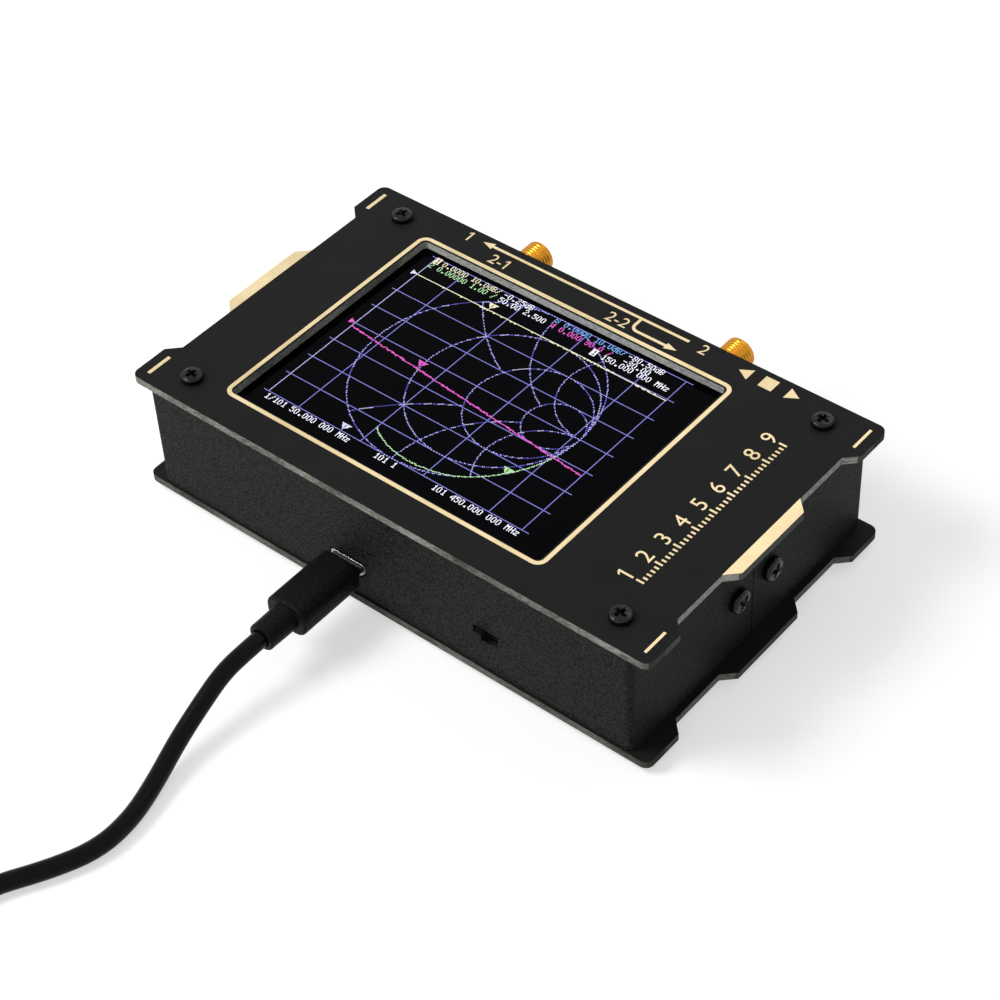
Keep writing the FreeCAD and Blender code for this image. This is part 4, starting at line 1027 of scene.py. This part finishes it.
# The picture on the display, pixel by pixel. Places count pixels from the chart's upper left corner.
picture = {
    "pixel": 0.2025,
    "fill": 0.8,             # share of a pixel that lets light through
    "borderLeft": 2.8,       # panel's edge to the picture's edge
    "borderRear": 5.2,
    "thickness": 0.05,
    "proud": 0.02,
    "chartLeft": 15,         # pixels from the picture's left edge to the chart
    "width": 290,
    "height": 232,
    "rows": 8,
    "columns": 4,            # lines between the sides, the outer ones half a step in
    "overhang": (5, 8),      # how far the level lines run past the chart
    "halfLine": 0.5,
    "dotEvery": 3,           # the pixels of an arc that are brighter
    "edgeEvery": 2,          # and those of the chart's left side
    "markerHeight": 8,
    "pointerLength": 6,
    "arcs": ((0.5, 0.25), (1.0, 0.5), (2.0, 0.75)),  # radii of a pair of arcs and of a circle, by the chart's
    "flatTrace": {"row": 29.2, "sink": 1.9, "from": 165, "over": 125, "jitter": 0.35},
    "slopedTrace": {"row": 121, "sink": 30, "jitter": 0.55},
    "rimTrace": {"steps": 230, "from": -111, "turn": 97, "start": 0.862, "quickness": 1.9, "bend": 0.7,
                 "jitter": 0.3},  # a reflection trace that runs out to the rim and along it
    "markers": [("cream", 86, 28), ("green", 235, 189), ("magenta", 86, 128), ("pale", 86, 231)],
    "pointers": [("magenta", 116), ("pale", 29)],
    "texts": [  # layer, text, column and row, and True where it is dark on a lit block
        ("white", "-0.25dB", 85, 0), ("white", "50.00 2.500", 85, 8), ("white", "-80.50dB", 229, 0),
        ("white", "-30.00", 229, 8), ("white", "150.000 000 MHz", 210, 15), ("white", "101 1", 131, 234),
        ("white", "1/101 50.000 000 MHz", 2, 234), ("white", "101 450.000 000 MHz", 197, 234),
        ("white", "1", 199, 15, True), ("cream", "1", 2, 0, True), ("cream", "0.0000 10.0dB/", 11, 0),
        ("green", "2 0.00000 1.00 /", 1, 8), ("magenta", "4 0.000 90.0 /", 146, 8),
        ("blue", "3 0.0000 10.0dB/", 146, 0)],
    "seed": 4,
}
letterSize = (4, 7)  # pixels across and down
digits = {  # one hexadecimal digit for each row of pixels
    "0": "6999996", "1": "2622227", "2": "691248f", "3": "6916196", "4": "1359f11", "5": "f8e1196",
    "6": "698e996", "7": "f112444", "8": "6996996", "9": "6997196", ".": "0000066", "-": "000f000",
    "/": "1122448", "M": "9ff9999", "H": "999f999", "z": "00f168f", "d": "1179997", "B": "e99e99e",
}


def textPixels(text, column, row, block=False):
    wide, tall = letterSize
    shown = {(column + place * (wide + 1) + bit, row + line) for place, letter in enumerate(text)
             for line in range(tall) for bit in range(wide)
             if int(digits.get(letter, "0" * tall)[line], 16) >> (wide - 1 - bit) & 1}
    around = {(c, r) for c in range(column - 1, column + (wide + 1) * len(text))
              for r in range(row - 1, row + tall + 1)}
    return around - shown if block else shown


def onChart(x, y, radius):  # impedance circles and arcs, from the outer circle inwards
    near = picture["halfLine"]
    if math.hypot(x, y) > radius + near:
        return False
    if abs(math.hypot(x, y) - radius) < near:
        return True
    for arc, circle in picture["arcs"]:
        for side in (-1, 1):
            if abs(math.hypot(x - radius, y - side * arc * radius) - arc * radius) < near:
                return True
        fromMiddle = math.hypot(x - (1 - circle) * radius, y)
        if abs(fromMiddle - circle * radius) < near:
            return True
        if fromMiddle < circle * radius:
            return False
    return False


def tracePixels(heights, chance, jitter):
    shown, last = set(), None
    for column, height in enumerate(heights):
        row = round(height + chance.uniform(-jitter, jitter))
        low, high = (row, row) if last is None else (min(row, last), max(row, last))
        shown |= {(column, r) for r in range(low, high + 1)}
        last = row
    return shown


def markerPixels(column, row):  # a triangle that stands on its tip, with a slot in the middle
    height = picture["markerHeight"]
    shown = {(column + c, row - 1 - level) for level in range(height)
             for c in range(-(level * 3 // 4), level * 3 // 4 + 1)}
    return shown - {(column, row - level) for level in range(height // 2, height)}


def pointerPixels(row):  # a triangle beside the chart that points at its left edge
    length = picture["pointerLength"]
    return {(-1 - c, row + r) for c in range(length) for r in range(-c // 2, c // 2 + 1)}


def pictureLayers():  # in the order in which they cover each other
    p = picture
    width, height = p["width"], p["height"]
    radius, columns = height / 2, range(width + 1)
    chance = random.Random(p["seed"])
    flat, sloped, rim = p["flatTrace"], p["slopedTrace"], p["rimTrace"]
    cream = tracePixels([flat["row"] + flat["sink"] * max(0, (c - flat["from"]) / flat["over"]) ** 2
                         for c in columns], chance, flat["jitter"])
    magenta = tracePixels([sloped["row"] + sloped["sink"] * c / width for c in columns], chance,
                          sloped["jitter"])
    green = set()
    for share in (k / (rim["steps"] - 1) for k in range(rim["steps"])):
        angle = math.radians(rim["from"] + rim["turn"] * share)
        out = rim["start"] + (1 - rim["start"]) * min(1, share * rim["quickness"]) ** rim["bend"]
        reach = radius * out + chance.uniform(-rim["jitter"], rim["jitter"])
        green.add((round(width / 2 + reach * math.cos(angle)), round(height / 2 - reach * math.sin(angle))))
    arcs = {(c, r) for c in columns for r in range(height + 1)
            if onChart(c - width / 2, height / 2 - r, radius)}
    grid = {(c, round(height * k / p["rows"])) for k in range(p["rows"] + 1)
            for c in range(-p["overhang"][0], width + p["overhang"][1])}
    uprights = [round(width * (k + 0.5) / p["columns"]) for k in range(p["columns"])]
    grid |= {(c, r) for c in (0, *uprights, width) for r in range(height + 1)}
    dots = {(c, r) for c, r in arcs if (c + r) % p["dotEvery"] == 0}
    dots |= {(0, r) for r in range(0, height, p["edgeEvery"])}
    layers = {"white": set(), "cream": cream, "magenta": magenta, "green": green, "blue": set(),
              "pale": set(), "dots": dots, "arcs": arcs, "grid": grid}
    for draw, key in ((textPixels, "texts"), (markerPixels, "markers"), (pointerPixels, "pointers")):
        for name, *given in p[key]:
            layers[name] |= draw(*given)
    return layers


def addPicture():
    p = picture
    low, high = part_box("display_panel")
    left = low.x + (p["borderLeft"] + p["chartLeft"] * p["pixel"]) * mm
    rear = high.y - p["borderRear"] * mm
    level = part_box("touch_panel")[1].z + (p["proud"] - p["thickness"] / 2) * mm
    taken = set()
    for name, pixels in pictureLayers().items():
        points = [(left + (c + 0.5) * p["pixel"] * mm, rear - (r + 0.5) * p["pixel"] * mm, level)
                  for c, r in sorted(pixels - taken)]
        taken |= pixels
        panes = grow(pointMesh("picture_" + name, points, "span", [(1, 1, 0)] * len(points)), bars,
                     {"Unit": p["pixel"] * mm, "Fill": p["fill"], "Thickness": p["thickness"] * mm,
                      "Material": lit[name]})
        addPiece("picture_" + name, panes, "case")
    return len(taken)


print("picture:", addPicture(), "pixels lit")


# Floor and light, in metres.
studio = {
    "floorHalf": 4.0,
    "gap": 0.0001,           # from the floor to what stands on it, so that the two never fight
    "floorColours": ("#c8c8c8", "#cbcbcb"),
    "floorFibre": 0.0025,
    "floorRough": 0.9,
    "floorLift": (0.55, 0.86),  # added for the camera only, near and far, so that the floor reads white
    "liftFrom": (0.35, 1.6),    # from the middle to near and to far
    "around": 0.3,           # what the surroundings give the object
    "aim": (0, 0, 0.01),
    "lamps": [  # place, size, power in watts
        ((-0.5, -0.45, 0.75), 0.42, 7.0),
        ((0.1, -0.8, 0.4), 0.5, 0.8),
        ((0.0, 0.6, 0.8), 0.5, 1.3),
    ],
}


def seenDirectly(tree):  # 1 for rays from the camera, in reflections and through glass
    path = addNode(tree, "LightPath").outputs
    either = addNode(tree, "Math", [path["Is Camera Ray"], path["Is Glossy Ray"]], operation="MAXIMUM")
    return addNode(tree, "Math", [either, path["Is Transmission Ray"]], operation="MAXIMUM")


def addFloor():
    half, down = studio["floorHalf"], -studio["gap"]
    work = bmesh.new()
    corners = ((-half, -half), (half, -half), (half, half), (-half, half))
    work.faces.new([work.verts.new((x, y, down)) for x, y in corners])
    floor = addObject("floor", meshFrom(work, "floor", unit=1))
    material, tree, place = startMaterial("white_paper_floor")
    fibre = addNode(tree, "TexNoise", {"Vector": place, "Scale": 1 / studio["floorFibre"]})
    dull, pale = (linear(code) for code in studio["floorColours"])
    tint = addNode(tree, "Mix", {0: fibre, 6: dull, 7: pale}, data_type="RGBA")
    away = addNode(tree, "VectorMath", [place], operation="LENGTH")
    rising = addNode(tree, "MapRange", [away, *studio["liftFrom"], *studio["floorLift"]])
    lift = addNode(tree, "Math", [seenDirectly(tree), rising], operation="MULTIPLY")
    floor.data.materials.append(endMaterial(material, {
        "Base Color": tint, "Roughness": studio["floorRough"], "Specular IOR Level": 0.0,
        "Emission Color": (1, 1, 1, 1), "Emission Strength": lift}))


def addLight():
    world = bpy.data.worlds.new("studio")
    bpy.context.scene.world = world
    world.use_nodes = True
    tree = world.node_tree
    tree.nodes.clear()
    strength = addNode(tree, "Mix", {0: seenDirectly(tree), 2: studio["around"], 3: 1.0})
    sky = addNode(tree, "Background", {"Color": (1, 1, 1, 1), "Strength": strength})
    addNode(tree, "OutputWorld", {"Surface": sky})
    for place, size, power in studio["lamps"]:
        data = bpy.data.lights.new("softbox", "AREA")
        data.size = size
        data.energy = power
        lamp = addObject("softbox", data)
        aim = (Vector(studio["aim"]) - Vector(place)).to_track_quat("-Z", "Y").to_matrix().to_4x4()
        lamp.matrix_world = Matrix.Translation(Vector(place)) @ aim


addFloor()
addLight()
bpy.context.scene.view_settings.view_transform = "Standard"
print("studio: floor and", len(studio["lamps"]), "softboxes")
